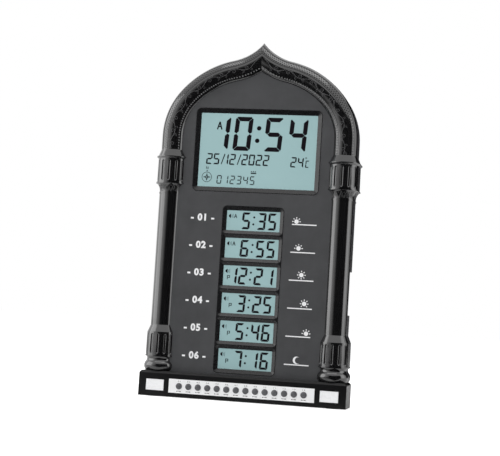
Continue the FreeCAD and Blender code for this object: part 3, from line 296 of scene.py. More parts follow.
def dome(centre, normal, radius, height, sides=8, rings=3):
    """A shallow dome on a surface: ring k of its quarter turn has radius cos(k) and height sin(k)."""
    normal = np.asarray(normal, float)
    across = np.cross(normal, dome_guide)
    across /= np.linalg.norm(across)
    third = np.cross(normal, across)
    rise = np.linspace(0, math.pi / 2, rings, endpoint=False)
    turn = np.linspace(0, 2 * math.pi, sides, endpoint=False)
    ring = np.cos(turn)[:, None] * across + np.sin(turn)[:, None] * third
    points = (np.asarray(centre) + radius * np.cos(rise)[:, None, None] * ring[None]
              + height * np.sin(rise)[:, None, None] * normal[None, None])
    points = np.concatenate([points.reshape(-1, 3), [np.asarray(centre) + height * normal]])
    faces = [list(face) for face in grid_faces(rings, sides)]
    top = rings * sides
    last = (rings - 1) * sides
    faces += [[last + index, last + (index + 1) % sides, top] for index in range(sides)]
    faces.append(list(range(sides))[::-1])
    return points, faces


def mirrored(part):
    """The mirror image in x of a pair of points and faces, its faces turned back outwards."""
    points, faces = part
    return points * np.array([-1.0, 1.0, 1.0]), [face[::-1] for face in faces]


def plates(outlines, front, thickness):
    """Flat closed plates facing -Y: each outline of x and z, run anticlockwise as seen, gets a front,
    a back and a wall."""
    parts = []
    for outline in outlines:
        outline = np.asarray(outline, float)
        count = len(outline)
        face = np.stack([outline[:, 0], np.full(count, front), outline[:, 1]], axis=1)
        points = np.concatenate([face, face + [0, thickness, 0]])
        ring = np.arange(count)
        after = (ring + 1) % count
        walls = np.stack([after, ring, ring + count, after + count], axis=1)
        faces = [list(ring), list(ring[::-1] + count)] + [list(wall) for wall in walls]
        parts.append((points, faces))
    return join(parts)


def circle(x, z, radius, count=20):
    """A round outline: points at even turns, a radius from the centre."""
    turn = np.linspace(0, 2 * math.pi, count, endpoint=False)
    return np.stack([x + radius * np.cos(turn), z + radius * np.sin(turn)], axis=1)


def bar(x0, z0, x1, z1, width):
    """A straight stroke between two points: its corners lie half the width to either side."""
    a, b = np.array([x0, z0]), np.array([x1, z1])
    side = np.array([-(b - a)[1], (b - a)[0]])
    side = side / np.linalg.norm(side) * width / 2
    return np.array([a - side, b - side, b + side, a + side])


def ring_strokes(x, z, radius, width, count=24, start=0.0, end=2 * math.pi):
    """A ring or arc as short plates end to end, each between two radii half a width apart from it."""
    turn = np.linspace(start, end, count + 1)
    inner = np.stack([x + (radius - width / 2) * np.cos(turn),
                      z + (radius - width / 2) * np.sin(turn)], axis=1)
    outer = np.stack([x + (radius + width / 2) * np.cos(turn),
                      z + (radius + width / 2) * np.sin(turn)], axis=1)
    return [np.array([inner[i], outer[i], outer[i + 1], inner[i + 1]]) for i in range(count)]


# Figures of the displays

segments_of = {"0": "abcdef", "1": "bc", "2": "abged", "3": "abgcd", "4": "fgbc", "5": "afgcd",
               "6": "afgedc", "7": "abc", "C": "afed"}
figure_slant = 0.065
corner_cut_share = 0.45
shoulder_share = 0.6
crossbar_half_share = 0.27
crossbar_drop_share = 0.12


def segment_outlines(width, height, stroke, gap):
    """The seven strokes of a figure about its centre: mitred where they meet, cut at the outer corners,
    and pointed at the middle. The top, the upper right and the middle one are drawn, and the others are
    their mirror images."""
    side = width / 2
    head = height / 2
    cut = stroke * corner_cut_share
    half = stroke / 2
    top = np.array([(-side + stroke + gap, head - stroke), (side - stroke - gap, head - stroke),
                    (side - cut / 2 - gap, head - cut / 2), (side - cut - gap, head),
                    (-side + cut + gap, head), (-side + cut / 2 + gap, head - cut / 2)])
    right = np.array([(side - stroke, half + gap), (side - half, gap),
                      (side, half * shoulder_share + gap), (side, head - cut - gap),
                      (side - cut / 2, head - cut / 2 - gap), (side - stroke, head - stroke - gap)])
    middle = np.array([(-side + stroke + gap, -half), (side - stroke - gap, -half),
                       (side - half - gap, 0), (side - stroke - gap, half),
                       (-side + stroke + gap, half), (-side + half + gap, 0)])
    flip_x, flip_z = np.array([-1.0, 1.0]), np.array([1.0, -1.0])
    return {"a": top, "d": (top * flip_z)[::-1], "b": right, "c": (right * flip_z)[::-1],
            "f": (right * flip_x)[::-1], "e": right * flip_x * flip_z, "g": middle}


def figure(character, x, z, width, height, stroke, gap):
    """The outlines of one figure centred on x and z, each point moved sideways by its height's share."""
    outlines = segment_outlines(width, height, stroke, gap)
    placed = []
    for letter in segments_of[character]:
        shape = outlines[letter].copy()
        shape[:, 0] += shape[:, 1] * figure_slant
        placed.append(shape + [x, z])
    return placed


def capital_a(x, z, width, height, stroke):
    """A plain letter A in three strokes."""
    foot, head = z - height / 2, z + height / 2
    reach = width * crossbar_half_share
    level = z - height * crossbar_drop_share
    return [bar(x - width / 2, foot, x, head, stroke), bar(x + width / 2, foot, x, head, stroke),
            bar(x - reach, level, x + reach, level, stroke)]


def capital_p(x, z, width, height, stroke):
    """A plain letter P: a post and a bowl of three strokes."""
    left, right = x - width / 2, x + width / 2
    foot, waist, head = z - height / 2, z, z + height / 2
    return [bar(left, foot, left, head + stroke / 2, stroke), bar(left, head, right, head, stroke),
            bar(right, head + stroke / 2, right, waist - stroke / 2, stroke),
            bar(right, waist, left, waist, stroke)]


def capital_n(x, z, width, height, stroke):
    """A plain letter N: two posts and a diagonal."""
    left, right = x - width / 2, x + width / 2
    foot, head = z - height / 2, z + height / 2
    return [bar(left, foot, left, head, stroke), bar(right, foot, right, head, stroke),
            bar(left, head, right, foot, stroke)]


# The large display: heights are taken from its centre, places along it are in millimetres

time_z = main_centre_z + 19.5 * mm
time_digit = dict(width=20.5 * mm, height=39.0 * mm, stroke=5.0 * mm, gap=0.22 * mm)
time_places = (("1", -44.0), ("0", -18.0), ("5", 17.8), ("4", 45.6))
time_dots = ((0.4, 26.4), (-1.0, 12.0))
time_dot_radius = 2.6 * mm
time_letter = dict(x=-45.6 * mm, z=main_centre_z + 28.2 * mm, width=5.2 * mm, height=9.0 * mm,
                   stroke=1.5 * mm)

date_z = main_centre_z - 10.3 * mm
date_digit = dict(width=6.9 * mm, height=12.6 * mm, stroke=1.65 * mm, gap=0.12 * mm)
date_start_x = -55.4 * mm
date_step = 8.3 * mm
one_shift = 3.6 * mm
one_step = 4.6 * mm
slash_shift = 0.6 * mm
slash_step = 6.4 * mm
slash_half_width = 1.9 * mm
slash_half_height = 6.0 * mm
slash_stroke = 1.1 * mm

heat_z = main_centre_z - 11.2 * mm
heat_digit = dict(width=6.6 * mm, height=11.8 * mm, stroke=1.6 * mm, gap=0.12 * mm)
heat_places = (("2", 42.2), ("4", 50.4))
degree_ring = dict(x=56.4 * mm, z=heat_z + 5.2 * mm, radius=0.8 * mm, width=0.5 * mm, count=10)
degree_letter = dict(x=58.2 * mm, z=heat_z - 1.6 * mm, width=4.4 * mm, height=8.2 * mm,
                     stroke=1.15 * mm, gap=0.1 * mm)

dial_x = -57.2 * mm
dial_z = main_centre_z - 31.6 * mm
dial_radius = 5.6 * mm
dial_stroke = 0.55 * mm
hub_radius = 1.3 * mm
hub_stroke = 1.1 * mm
spike_root = 2.0 * mm
spike_tip = 4.6 * mm
spike_half = 0.9 * mm
pointer_foot = 6.6 * mm
pointer_tip = 8.2 * mm
pointer_half = 1.0 * mm
north_letter = dict(x=dial_x, z=dial_z + 10.6 * mm, width=2.2 * mm, height=3.0 * mm, stroke=0.5 * mm)

number_z = main_centre_z - 33.9 * mm
number_digit = dict(width=5.6 * mm, height=9.8 * mm, stroke=1.15 * mm, gap=0.25 * mm)
number_start_x = -42.6 * mm
number_step = 7.7 * mm

dash_z = main_centre_z - 23.6 * mm
dash_count = 3
dash_start_x = -6.0 * mm
dash_step = 2.2 * mm
dash_length = 1.4 * mm
dash_stroke = 0.9 * mm
underline_from = -6.2 * mm
underline_to = 0.2 * mm
underline_drop = 1.8 * mm
underline_stroke = 1.4 * mm


def time_figures():
    """Four large figures, two round dots and a letter for the half of the day."""
    shapes = []
    for character, x in time_places:
        shapes += figure(character, x * mm, time_z, **time_digit)
    for x, rise in time_dots:
        shapes.append(circle(x * mm, main_centre_z + rise * mm, time_dot_radius))
    return shapes + capital_a(**time_letter)


def date_figures():
    """The date from left to right. Each figure moves on by one step, a one and a stroke by less."""
    shapes = []
    x = date_start_x
    for character in "25/12/2022":
        if character == "/":
            x -= slash_shift
            shapes.append(bar(x - slash_half_width, date_z - slash_half_height,
                              x + slash_half_width, date_z + slash_half_height, slash_stroke))
            x += slash_step
        elif character == "1":
            shapes += figure("1", x - one_shift, date_z, **date_digit)
            x += one_step
        else:
            shapes += figure(character, x, date_z, **date_digit)
            x += date_step
    return shapes


def heat_figures():
    """The temperature with its degree ring and letter."""
    shapes = []
    for character, x in heat_places:
        shapes += figure(character, x * mm, heat_z, **heat_digit)
    return shapes + ring_strokes(**degree_ring) + figure("C", **degree_letter)


def compass():
    """A ring and a hub, four spikes a quarter turn apart, and a pointer with its letter above."""
    shapes = ring_strokes(dial_x, dial_z, dial_radius, dial_stroke, count=32)
    shapes += ring_strokes(dial_x, dial_z, hub_radius, hub_stroke, count=16)
    centre = np.array([dial_x, dial_z])
    for quarter in range(4):
        angle = quarter * math.pi / 2
        out = np.array([math.cos(angle), math.sin(angle)])
        side = np.array([-out[1], out[0]])
        shapes.append(np.array([centre + out * spike_root - side * spike_half, centre + out * spike_tip,
                                centre + out * spike_root + side * spike_half]))
    shapes.append(np.array([(dial_x - pointer_half, dial_z + pointer_foot),
                            (dial_x + pointer_half, dial_z + pointer_foot),
                            (dial_x, dial_z + pointer_tip)]))
    return shapes + capital_n(**north_letter)


def number_row():
    """A row of plain figures along the foot of the display."""
    shapes = []
    for index, character in enumerate("012345"):
        shapes += figure(character, number_start_x + number_step * index, number_z, **number_digit)
    return shapes


def underlined_dashes():
    """Short dashes with a line under them."""
    starts = [dash_start_x + dash_step * index for index in range(dash_count)]
    shapes = [bar(x, dash_z, x + dash_length, dash_z, dash_stroke) for x in starts]
    underline_z = dash_z - underline_drop
    return shapes + [bar(underline_from, underline_z, underline_to, underline_z, underline_stroke)]


# The small displays: places along them are in millimetres

row_digit = dict(width=9.6 * mm, height=19.2 * mm, stroke=2.5 * mm, gap=0.16 * mm)
row_places = (-19.6, -8.2, 9.8, 21.9)
row_dots = ((1.0, 4.3), (0.4, -3.7))
row_dot_radius = 1.2 * mm
row_mark_rise = 4.9 * mm
horn_x = -27.2 * mm
horn_half = 1.2 * mm
horn_narrow = 0.9 * mm
horn_wide = 2.6 * mm
sound_waves = ((2.4, 1.6), (3.7, 2.4))
wave_stroke = 0.35 * mm
morning_rows = 2
morning_letter = dict(width=3.0 * mm, height=4.6 * mm, stroke=0.75 * mm)
later_letter = dict(width=2.6 * mm, height=4.4 * mm, stroke=0.75 * mm)
letter_x = -20.6 * mm
crowded_letter_x = -24.6 * mm
later_letter_drop = 7.4 * mm


def sound_mark(x, z):
    """A plain loudspeaker: a horn that widens to the right, and upright strokes for two waves."""
    horn = np.array([(x - horn_half, z - horn_narrow), (x + horn_half, z - horn_wide),
                     (x + horn_half, z + horn_wide), (x - horn_half, z + horn_narrow)])
    return [horn] + [bar(x + away * mm, z - half * mm, x + away * mm, z + half * mm, wave_stroke)
                     for away, half in sound_waves]


def row_figures(index):
    """One small display's time, with its sound mark and its letter."""
    z = first_row_z - row_pitch * index
    characters = row_times[index].replace(":", "").rjust(len(row_places))
    crowded = characters[0] != " "
    shapes = []
    for character, x in zip(characters, row_places):
        if character != " ":
            shapes += figure(character, x * mm, z, **row_digit)
    for x, rise in row_dots:
        shapes.append(circle(x * mm, z + rise * mm, row_dot_radius, count=14))
    mark_z = z + row_mark_rise
    shapes += sound_mark(horn_x, mark_z)
    if index < morning_rows:
        return shapes + capital_a(letter_x, mark_z, **morning_letter)
    return shapes + capital_p(crowded_letter_x if crowded else letter_x, mark_z - later_letter_drop,
                              **later_letter)


film_thickness = film * 1.5
add_piece("main_figures", *plates(time_figures() + date_figures() + heat_figures() + compass()
                                  + number_row() + underlined_dashes(), main_glass_y - film,
                                  film_thickness), figure_ink, slot="display_glass", smooth=False)
add_piece("row_figures", *plates([shape for index in range(row_count) for shape in row_figures(index)],
                                 row_glass_y - film, film_thickness), figure_ink,
          slot="display_glass", smooth=False)


# Printed marks on the panel and the strip

capital_share = 0.70
print_stand = 0.7 * print_thickness
print_y = panel_low[1] - print_stand
strip_print_y = strip_low[1] - print_stand
label_x = 58.5 * mm
row_number_rise = 1.9 * mm
row_number_type = dict(cap_height=7.4 * mm, stretch=1.0, bold=0.045, tracking=1.15)
key_number_rise = 5.5 * mm
key_number_type = dict(cap_height=1.5 * mm, stretch=1.5, bold=0.0, tracking=1.3)


def lettering(name, words, x, z, front, material, cap_height, stretch, bold, tracking):
    """Plain printed characters as a thin closed mesh centred on x and z, on a face that looks to -Y."""
    curve = bpy.data.curves.new(name, "FONT")
    curve.body = words
    curve.align_x = "CENTER"
    curve.align_y = "CENTER"
    curve.extrude = 0.5
    curve.offset = bold
    curve.space_character = tracking
    curve.resolution_u = 3
    holder = bpy.data.objects.new(name + "_type", curve)
    bpy.context.scene.collection.objects.link(holder)
    bpy.context.view_layer.update()
    mesh = bpy.data.meshes.new_from_object(holder.evaluated_get(bpy.context.evaluated_depsgraph_get()))
    bpy.data.objects.remove(holder)
    count = len(mesh.vertices)
    flat = np.zeros(count * 3)
    mesh.vertices.foreach_get("co", flat)
    flat = flat.reshape(-1, 3)
    size = cap_height / capital_share
    middle = (flat.min(0) + flat.max(0)) / 2
    placed = np.empty_like(flat)
    placed[:, 0] = x + (flat[:, 0] - middle[0]) * size * stretch
    placed[:, 1] = front + (curve.extrude - flat[:, 2]) * print_thickness
    placed[:, 2] = z + (flat[:, 1] - middle[1]) * size
    mesh.vertices.foreach_set("co", placed.ravel())
    mesh.materials.clear()
    mesh.materials.append(material)
    mesh.update()
    piece = bpy.data.objects.new(name, mesh)
    bpy.context.scene.collection.objects.link(piece)
    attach(piece, "case")


for index in range(row_count):
    lettering("row_number_%d" % (index + 1), "- 0%d -" % (index + 1), -label_x,
              first_row_z - row_pitch * index + row_number_rise, print_y, print_white, **row_number_type)


# How far each day row's sun stands along and above its horizon, in millimetres. The last row is night.
sun_places = ((-9.0, 3.3), (-5.0, 4.6), (0.0, 6.2), (5.0, 5.6), (9.0, 4.0))
sun_shift = 0.6 * mm
horizon_drop = 1.8 * mm
horizon_half = 14.0 * mm
horizon_stroke = 1.2 * mm
sun_radius = 2.5 * mm
ray_count = 8
ray_from = 3.4 * mm
ray_to = 4.9 * mm
ray_stroke = 1.0 * mm
ray_tip_room = 1.2 * mm
ray_root_room = 0.9 * mm
moon_rise = 5.2 * mm
moon_radius = 4.2 * mm
moon_hollow_shift = 1.5 * mm
moon_hollow_width = 3.2 * mm
moon_hollow_height = 3.5 * mm
moon_from = math.radians(55)
moon_to = math.radians(305)
moon_steps = 24


def crescent(x, z):
    """A moon in short plates between two arcs: the outer one round, the inner one a moved ellipse."""
    turn = np.linspace(moon_from, moon_to, moon_steps + 1)
    outer = np.stack([x + moon_radius * np.cos(turn), z + moon_radius * np.sin(turn)], axis=1)
    inner = np.stack([x + moon_hollow_shift + moon_hollow_width * np.cos(turn),
                      z + moon_hollow_height * np.sin(turn)], axis=1)
    return [np.array([outer[i], outer[i + 1], inner[i + 1], inner[i]]) for i in range(moon_steps)]


def rayed_sun(x, z, horizon):
    """A disc with evenly turned rays, less those that would run into the horizon."""
    shapes = [circle(x, z, sun_radius, count=24)]
    for ray in range(ray_count):
        angle = ray * 2 * math.pi / ray_count
        out = np.array([math.cos(angle), math.sin(angle)])
        inner, outer = np.array([x, z]) + out * ray_from, np.array([x, z]) + out * ray_to
        if outer[1] > horizon + ray_tip_room and inner[1] > horizon + ray_root_room:
            shapes.append(bar(*inner, *outer, ray_stroke))
    return shapes


def sun_path(index):
    """A plain mark for the time of day: a horizon, and the sun before, at, over or past its height, or
    a crescent at night."""
    x = label_x + sun_shift
    horizon = first_row_z - row_pitch * index - horizon_drop
    shapes = [bar(x - horizon_half, horizon, x + horizon_half, horizon, horizon_stroke)]
    if index == len(sun_places):
        return shapes + crescent(x, horizon + moon_rise)
    along, above = sun_places[index]
    return shapes + rayed_sun(x + along * mm, horizon + above * mm, horizon)


add_piece("sun_marks", *plates([shape for index in range(row_count) for shape in sun_path(index)],
                               print_y, print_thickness), print_white, slot="strip_white", smooth=False)

# Start and length of the bars under each button, in millimetres from its centre
key_bars = ((-2.6, 1.3), (-0.8, 0.7), (0.4, 2.2))
key_bar_z = key_z - 5.7 * mm
key_bar_stroke = 0.9 * mm
for index in range(key_count):
    x = (index - (key_count - 1) / 2) * key_pitch
    lettering("key_number_%02d" % (index + 1), "%02d" % (index + 1), x, key_z + key_number_rise,
              strip_print_y, print_grey, **key_number_type)
    marks = [bar(x + start * mm, key_bar_z, x + (start + length) * mm, key_bar_z, key_bar_stroke)
             for start, length in key_bars]
    add_piece("key_mark_%02d" % (index + 1), *plates(marks, strip_print_y, print_thickness), print_grey,
              slot="strip_white", smooth=False)


# Relief of the arch

side_centre = np.array([column_x - side_radius, springing_z + straight_length])
shoulder_centre = side_centre + (side_radius - shoulder_radius) * np.array(
    [math.cos(side_angle), math.sin(side_angle)])
point_centre = shoulder_centre + (shoulder_radius + point_radius) * np.array(
    [math.cos(shoulder_angle), math.sin(shoulder_angle)])
side_end = straight_length + side_radius * side_angle
shoulder_end = side_end + shoulder_radius * (shoulder_angle - side_angle)

line_angles = (-27.0, -43.0, 19.0, 51.0)
line_radius = 0.32 * mm
line_sink = 0.1 * mm
line_start = 0.4 * mm
line_end_room = 0.05 * mm
line_steps = 90
dot_angles = (26.0, 35.0, 44.0)
dot_pitch = 3.0 * mm
dot_radius = 0.74 * mm
dot_height = 0.12 * mm
bead_angle = -35.0
bead_pitch = 3.1 * mm
bead_radius = 1.05 * mm
bead_height = 0.75 * mm
dome_sink_share = 0.1
mitre_room_share = 1.2
normal_probe = 1.0 * mm


def tip_length(offset):
    """How far along the centre line the mitre at the point lies for a line at that offset outwards."""
    angle = np.arccos(point_centre[0] / (point_radius - offset))
    return shoulder_end + point_radius * (shoulder_angle - angle)


def on_arch(s, t, lift=0.0):
    """Points on the right half of the arch's half-round bar. s runs along its centre line from the
    springing: a straight, an arc about side_centre, one about shoulder_centre, and one that curves the
    other way about point_centre. t is the angle round the bar, from its front, positive outwards."""
    s, t = np.broadcast_arrays(np.asarray(s, float), np.asarray(t, float))
    along_side = np.clip((s - straight_length) / side_radius, 0, side_angle)
    along_shoulder = side_angle + (s - side_end) / shoulder_radius
    along_point = shoulder_angle - (s - shoulder_end) / point_radius
    angle = np.where(s < side_end, along_side, np.where(s < shoulder_end, along_shoulder, along_point))
    out = np.stack([np.cos(angle), np.sin(angle)], axis=-1)
    centre = side_centre + side_radius * out
    centre = np.where((s < straight_length)[..., None],
                      np.stack([np.full(s.shape, column_x), springing_z + s], axis=-1), centre)
    centre = np.where((s >= side_end)[..., None], shoulder_centre + shoulder_radius * out, centre)
    centre = np.where((s >= shoulder_end)[..., None], point_centre - point_radius * out, centre)
    reach = bar_radius + lift
    place = centre + (reach * np.sin(t))[..., None] * out
    return np.stack([place[..., 0], axis_y - reach * np.cos(t), place[..., 1]], axis=-1)


def arch_normal(s, t):
    """The bar's outward direction at those points: where they move to when they are lifted."""
    away = on_arch(s, t, normal_probe) - on_arch(s, t)
    return away / np.linalg.norm(away, axis=-1)[..., None]


def both_halves(parts):
    """The parts of the right half and their mirror images, joined."""
    return join(parts + [mirrored(part) for part in parts])


def arch_line(t):
    """A raised line along the whole arch at one angle round the bar, up to the mitre."""
    end = tip_length(bar_radius * math.sin(t)) - line_end_room
    return strand(on_arch(np.linspace(line_start, end, line_steps), t, -line_sink), line_radius)


def domes_along(t, pitch, phase, radius, height, sides, rings):
    """Domes in a row along the arch at one angle round the bar, a pitch apart, moved on by a share of
    the pitch."""
    end = tip_length(bar_radius * math.sin(t)) - radius * mitre_room_share
    s = np.arange(pitch * (0.5 + phase), end, pitch)
    places, normals = on_arch(s, t, -dome_sink_share * height), arch_normal(s, np.full(len(s), t))
    return [dome(place, normal, radius, height, sides, rings)
            for place, normal in zip(places, normals)]


punched = []
for row, angle in enumerate(dot_angles):
    punched += domes_along(math.radians(angle), dot_pitch, 0.5 * (row % 2), dot_radius, dot_height,
                           sides=8, rings=2)
beads = domes_along(math.radians(bead_angle), bead_pitch, 0.0, bead_radius, bead_height,
                    sides=10, rings=3)
add_piece("arch_lines", *both_halves([arch_line(math.radians(angle)) for angle in line_angles]),
          relief_dark)
add_piece("arch_dots", *both_halves(punched), relief_dark)
# The beads carry a painted glint in their pale grey colour.
add_piece("arch_beads", *both_halves(beads), bead_painted_glint)


# The vine along the arch

vine_wave = 30.0 * mm
vine_swing = 2.3 * mm
vine_middle = -0.9 * mm
vine_start = 1.5 * mm
vine_end_room = 3.0 * mm
vine_steps = 220
vine_radius = 0.26 * mm
vine_sink = 0.08 * mm
bay_phase = 0.42
large_curl = dict(turns=1.15, size=2.5 * mm)
large_curl_radius = 0.22 * mm
small_curl = dict(turns=0.85, size=1.7 * mm)
small_curl_radius = 0.2 * mm
small_curl_shift = 4.6 * mm
curl_steps = 34
curl_closing = 0.82
leaf_turns = ((35.0, 4.2 * mm), (-20.0, 3.6 * mm))
leaf_shift = 2.5 * mm
leaf_width = 1.3 * mm
leaf_steps = 13
leaf_radius = 0.17 * mm
fine_sides = 5


def scroll_strand(s, w, radius):
    """A fine raised line on the bar through places s along it and w round it, both in metres."""
    return strand(on_arch(s, w / bar_radius, -vine_sink), radius, fine_sides)


def curl(s0, w0, start, side, turns, size):
    """A line that winds inwards: its distance from the eye falls evenly while it turns."""
    f = np.linspace(0, 1, curl_steps)
    reach = size * (1 - curl_closing * f)
    angle = start + side * turns * 2 * math.pi * f
    eye_s = s0 - size * math.cos(start)
    eye_w = w0 - size * math.sin(start)
    return eye_s + reach * np.cos(angle), eye_w + reach * np.sin(angle)


def leaf(s0, w0, angle, length, width):
    """A pointed leaf: two sides that swell as a sine between its ends."""
    f = np.linspace(0, 1, leaf_steps)
    bulge = width / 2 * np.sin(math.pi * f)
    lines = []
    for side in (1, -1):
        u, v = length * f, side * bulge
        lines.append((s0 + u * math.cos(angle) - v * math.sin(angle),
                      w0 + u * math.sin(angle) + v * math.cos(angle)))
    return lines


def scrollwork():
    """A plain vine along the bar's front: a sine wave, with two curls and two leaves in each half wave."""
    end = tip_length(0.0) - vine_end_room
    s = np.linspace(vine_start, end, vine_steps)
    parts = [scroll_strand(s, vine_middle + vine_swing * np.sin(2 * math.pi * s / vine_wave),
                           vine_radius)]
    for bay in range(int(end / (vine_wave / 2))):
        side = 1 if bay % 2 else -1
        s0 = (bay + bay_phase) * vine_wave / 2
        w0 = vine_middle + vine_swing * math.sin(2 * math.pi * s0 / vine_wave)
        inward = curl(s0, w0, -side * math.pi / 2, side, **large_curl)
        outward = curl(s0 + small_curl_shift, w0, side * math.pi / 2, -side, **small_curl)
        parts.append(scroll_strand(*inward, large_curl_radius))
        parts.append(scroll_strand(*outward, small_curl_radius))
        for turn, length in leaf_turns:
            angle = math.radians(180.0 + side * turn)
            for line in leaf(s0 - leaf_shift, w0, angle, length, leaf_width):
                parts.append(scroll_strand(*line, leaf_radius))
    return parts


add_piece("arch_scroll", *both_halves(scrollwork()), relief_silver)


# Relief of the capitals' bell necks

neck_leaf_step = math.radians(24.0)
neck_leaves_each_way = 2
neck_leaf_foot = 0.9 * mm
neck_leaf_length = 7.4 * mm
neck_leaf_half_share = 0.42
neck_leaf_curve = 0.8
neck_leaf_radius = 0.3 * mm
neck_vein_from = 1.2 * mm
neck_vein_to = 5.0 * mm
neck_vein_radius = 0.24 * mm
neck_vein_steps = 5
neck_sink = 0.05 * mm
neck_bead_height = 7.2 * mm
neck_bead_radius = 0.8 * mm
neck_bead_rise = 0.5 * mm
neck_bead_droop = -0.35
neck_widest = math.radians(68)


def neck_radius(h):
    """The bell's radius at a height above the ring: on the circle through its foot, waist and top."""
    a = np.array([shaft_radius, 0.0])
    b = np.array([neck_waist_radius, neck_waist_height])
    c = np.array([neck_top_radius, neck_height])
    d = 2 * (a[0] * (b[1] - c[1]) + b[0] * (c[1] - a[1]) + c[0] * (a[1] - b[1]))
    ux = ((a @ a) * (b[1] - c[1]) + (b @ b) * (c[1] - a[1]) + (c @ c) * (a[1] - b[1])) / d
    uz = ((a @ a) * (c[0] - b[0]) + (b @ b) * (a[0] - c[0]) + (c @ c) * (b[0] - a[0])) / d
    radius = math.hypot(a[0] - ux, a[1] - uz)
    side = 1 if ux < shaft_radius else -1
    return ux + side * np.sqrt(np.maximum(radius ** 2 - (h - uz) ** 2, 0))


def on_neck(angle, h, lift=0.0):
    """Points on the right column's bell: the angle is round its axis from the front."""
    angle, h = np.broadcast_arrays(np.asarray(angle, float), np.asarray(h, float))
    reach = neck_radius(h) + lift
    return np.stack([column_x + reach * np.sin(angle), axis_y - reach * np.cos(angle),
                     neck_foot_z + h], axis=-1)


def neck_leaf(middle):
    """An upright leaf: two sides that close to its tip by a power of the height left, and a vein."""
    f = np.linspace(0, 1, leaf_steps)
    h = neck_leaf_foot + f * neck_leaf_length
    parts = []
    for side in (-1, 1):
        angle = middle + side * neck_leaf_step * neck_leaf_half_share * (1 - f) ** neck_leaf_curve
        parts.append(strand(on_neck(angle, h, -neck_sink), neck_leaf_radius, fine_sides))
    vein = on_neck(middle, np.linspace(neck_vein_from, neck_vein_to, neck_vein_steps), -neck_sink)
    return parts + [strand(vein, neck_vein_radius, fine_sides)]


def neck_bead(angle):
    """A small dome between two tips, leaning a little downwards with the bell."""
    normal = np.array([math.sin(angle), -math.cos(angle), neck_bead_droop])
    return dome(on_neck(angle, neck_bead_height), normal / np.linalg.norm(normal), neck_bead_radius,
                neck_bead_rise)


def neck_relief():
    """Leaves a step apart round the bell's front, with a bead at each side of each."""
    parts = []
    for index in range(-neck_leaves_each_way, neck_leaves_each_way + 1):
        middle = index * neck_leaf_step
        parts += neck_leaf(middle)
        for side in (-0.5, 0.5):
            angle = middle + side * neck_leaf_step
            if abs(angle) < neck_widest:
                parts.append(neck_bead(angle))
    return parts


# The leaves and beads of the necks carry painted sheen in their paler grey colour.
add_piece("neck_leaves", *both_halves(neck_relief()), leaf_painted_sheen)


# Lamps

aim = (0.0, 0.0, 0.2)


def plain_light(name, place, width, height, power, reflected=True):
    """A soft rectangular lamp that looks at the clock's middle, and may be left out of reflections."""
    data = bpy.data.lights.new(name, "AREA")
    data.shape = "RECTANGLE"
    data.size = width
    data.size_y = height
    data.energy = power
    lamp = bpy.data.objects.new(name, data)
    lamp.location = place
    lamp.rotation_euler = (Vector(aim) - Vector(place)).to_track_quat("-Z", "Y").to_euler()
    lamp.visible_glossy = reflected
    bpy.context.scene.collection.objects.link(lamp)


plain_light("left_box", (-1.70, -0.45, 0.6), width=1.6, height=1.6, power=12.0)
plain_light("right_box", (1.75, -0.10, 0.6), width=0.9, height=1.5, power=4.0)
plain_light("top_box", (0.0, -0.3, 1.8), width=1.6, height=0.8, power=5.0)
plain_light("back_box", (0.5, 1.6, 0.9), width=1.6, height=1.4, power=16.0, reflected=False)
plain_light("front_fill", (-0.4, -2.4, 1.0), width=2.0, height=1.4, power=14.0, reflected=False)


# World: plain for the light it gives, white where it is seen, also in a reflection or through glass

ambient_level = 0.55
seen_level = 1.0

world = bpy.data.worlds.new("studio")
bpy.context.scene.world = world
world.use_nodes = True
sky = world.node_tree
backdrop = sky.nodes["Background"]
backdrop.inputs["Color"].default_value = (1, 1, 1, 1)
rays = sky.nodes.new("ShaderNodeLightPath")
seen = rays.outputs["Is Camera Ray"]
for kind in ("Is Glossy Ray", "Is Transmission Ray"):
    either = sky.nodes.new("ShaderNodeMath")
    either.operation = "MAXIMUM"
    sky.links.new(seen, either.inputs[0])
    sky.links.new(rays.outputs[kind], either.inputs[1])
    seen = either.outputs[0]
strength = sky.nodes.new("ShaderNodeMapRange")
strength.inputs["To Min"].default_value = ambient_level
strength.inputs["To Max"].default_value = seen_level
sky.links.new(seen, strength.inputs["Value"])
sky.links.new(strength.outputs["Result"], backdrop.inputs["Strength"])


# Floor and the cards that only reflections see

floor_reach = 40.0
floor_tone = 0.93
floor_glow = 0.55
floor_roughness = 0.9
card_tone = 0.005
card_radius = 2.2
card_steps = 33
front_bearings = (-46.0, 70.0)
front_fade = (-1.5, -0.5)
front_card_top = 1.45
floor_card_inner = 0.12
floor_card_z = 0.002
rear_bearings = (118.0, 179.0)
rear_card_top = 2.2
past_all_x = (-9.0, -8.0)


def dull_paint(name, level, roughness):
    """A grey paint with no shine, whose glow is white and still has to be given its strength."""
    paint, tree, shader = new_material(name)
    shader.inputs["Base Color"].default_value = (level, level, level, 1)
    shader.inputs["Roughness"].default_value = roughness
    shader.inputs["Specular IOR Level"].default_value = 0.0
    shader.inputs["Emission Color"].default_value = (1, 1, 1, 1)
    return paint, tree, shader


def stage_sheet(name, points, faces, paint):
    """A flat or bent sheet of the stage."""
    mesh = bpy.data.meshes.new(name)
    mesh.from_pydata(points, [], faces)
    mesh.materials.append(paint)
    sheet = bpy.data.objects.new(name, mesh)
    bpy.context.scene.collection.objects.link(sheet)
    return sheet


def floor_paint():
    """A pale paint that glows only where the camera sees it."""
    paint, tree, shader = dull_paint("floor_paint", floor_tone, floor_roughness)
    glow = tree.nodes.new("ShaderNodeMapRange")
    glow.inputs["To Max"].default_value = floor_glow
    tree.links.new(tree.nodes.new("ShaderNodeLightPath").outputs["Is Camera Ray"], glow.inputs["Value"])
    tree.links.new(glow.outputs["Result"], shader.inputs["Emission Strength"])
    return paint


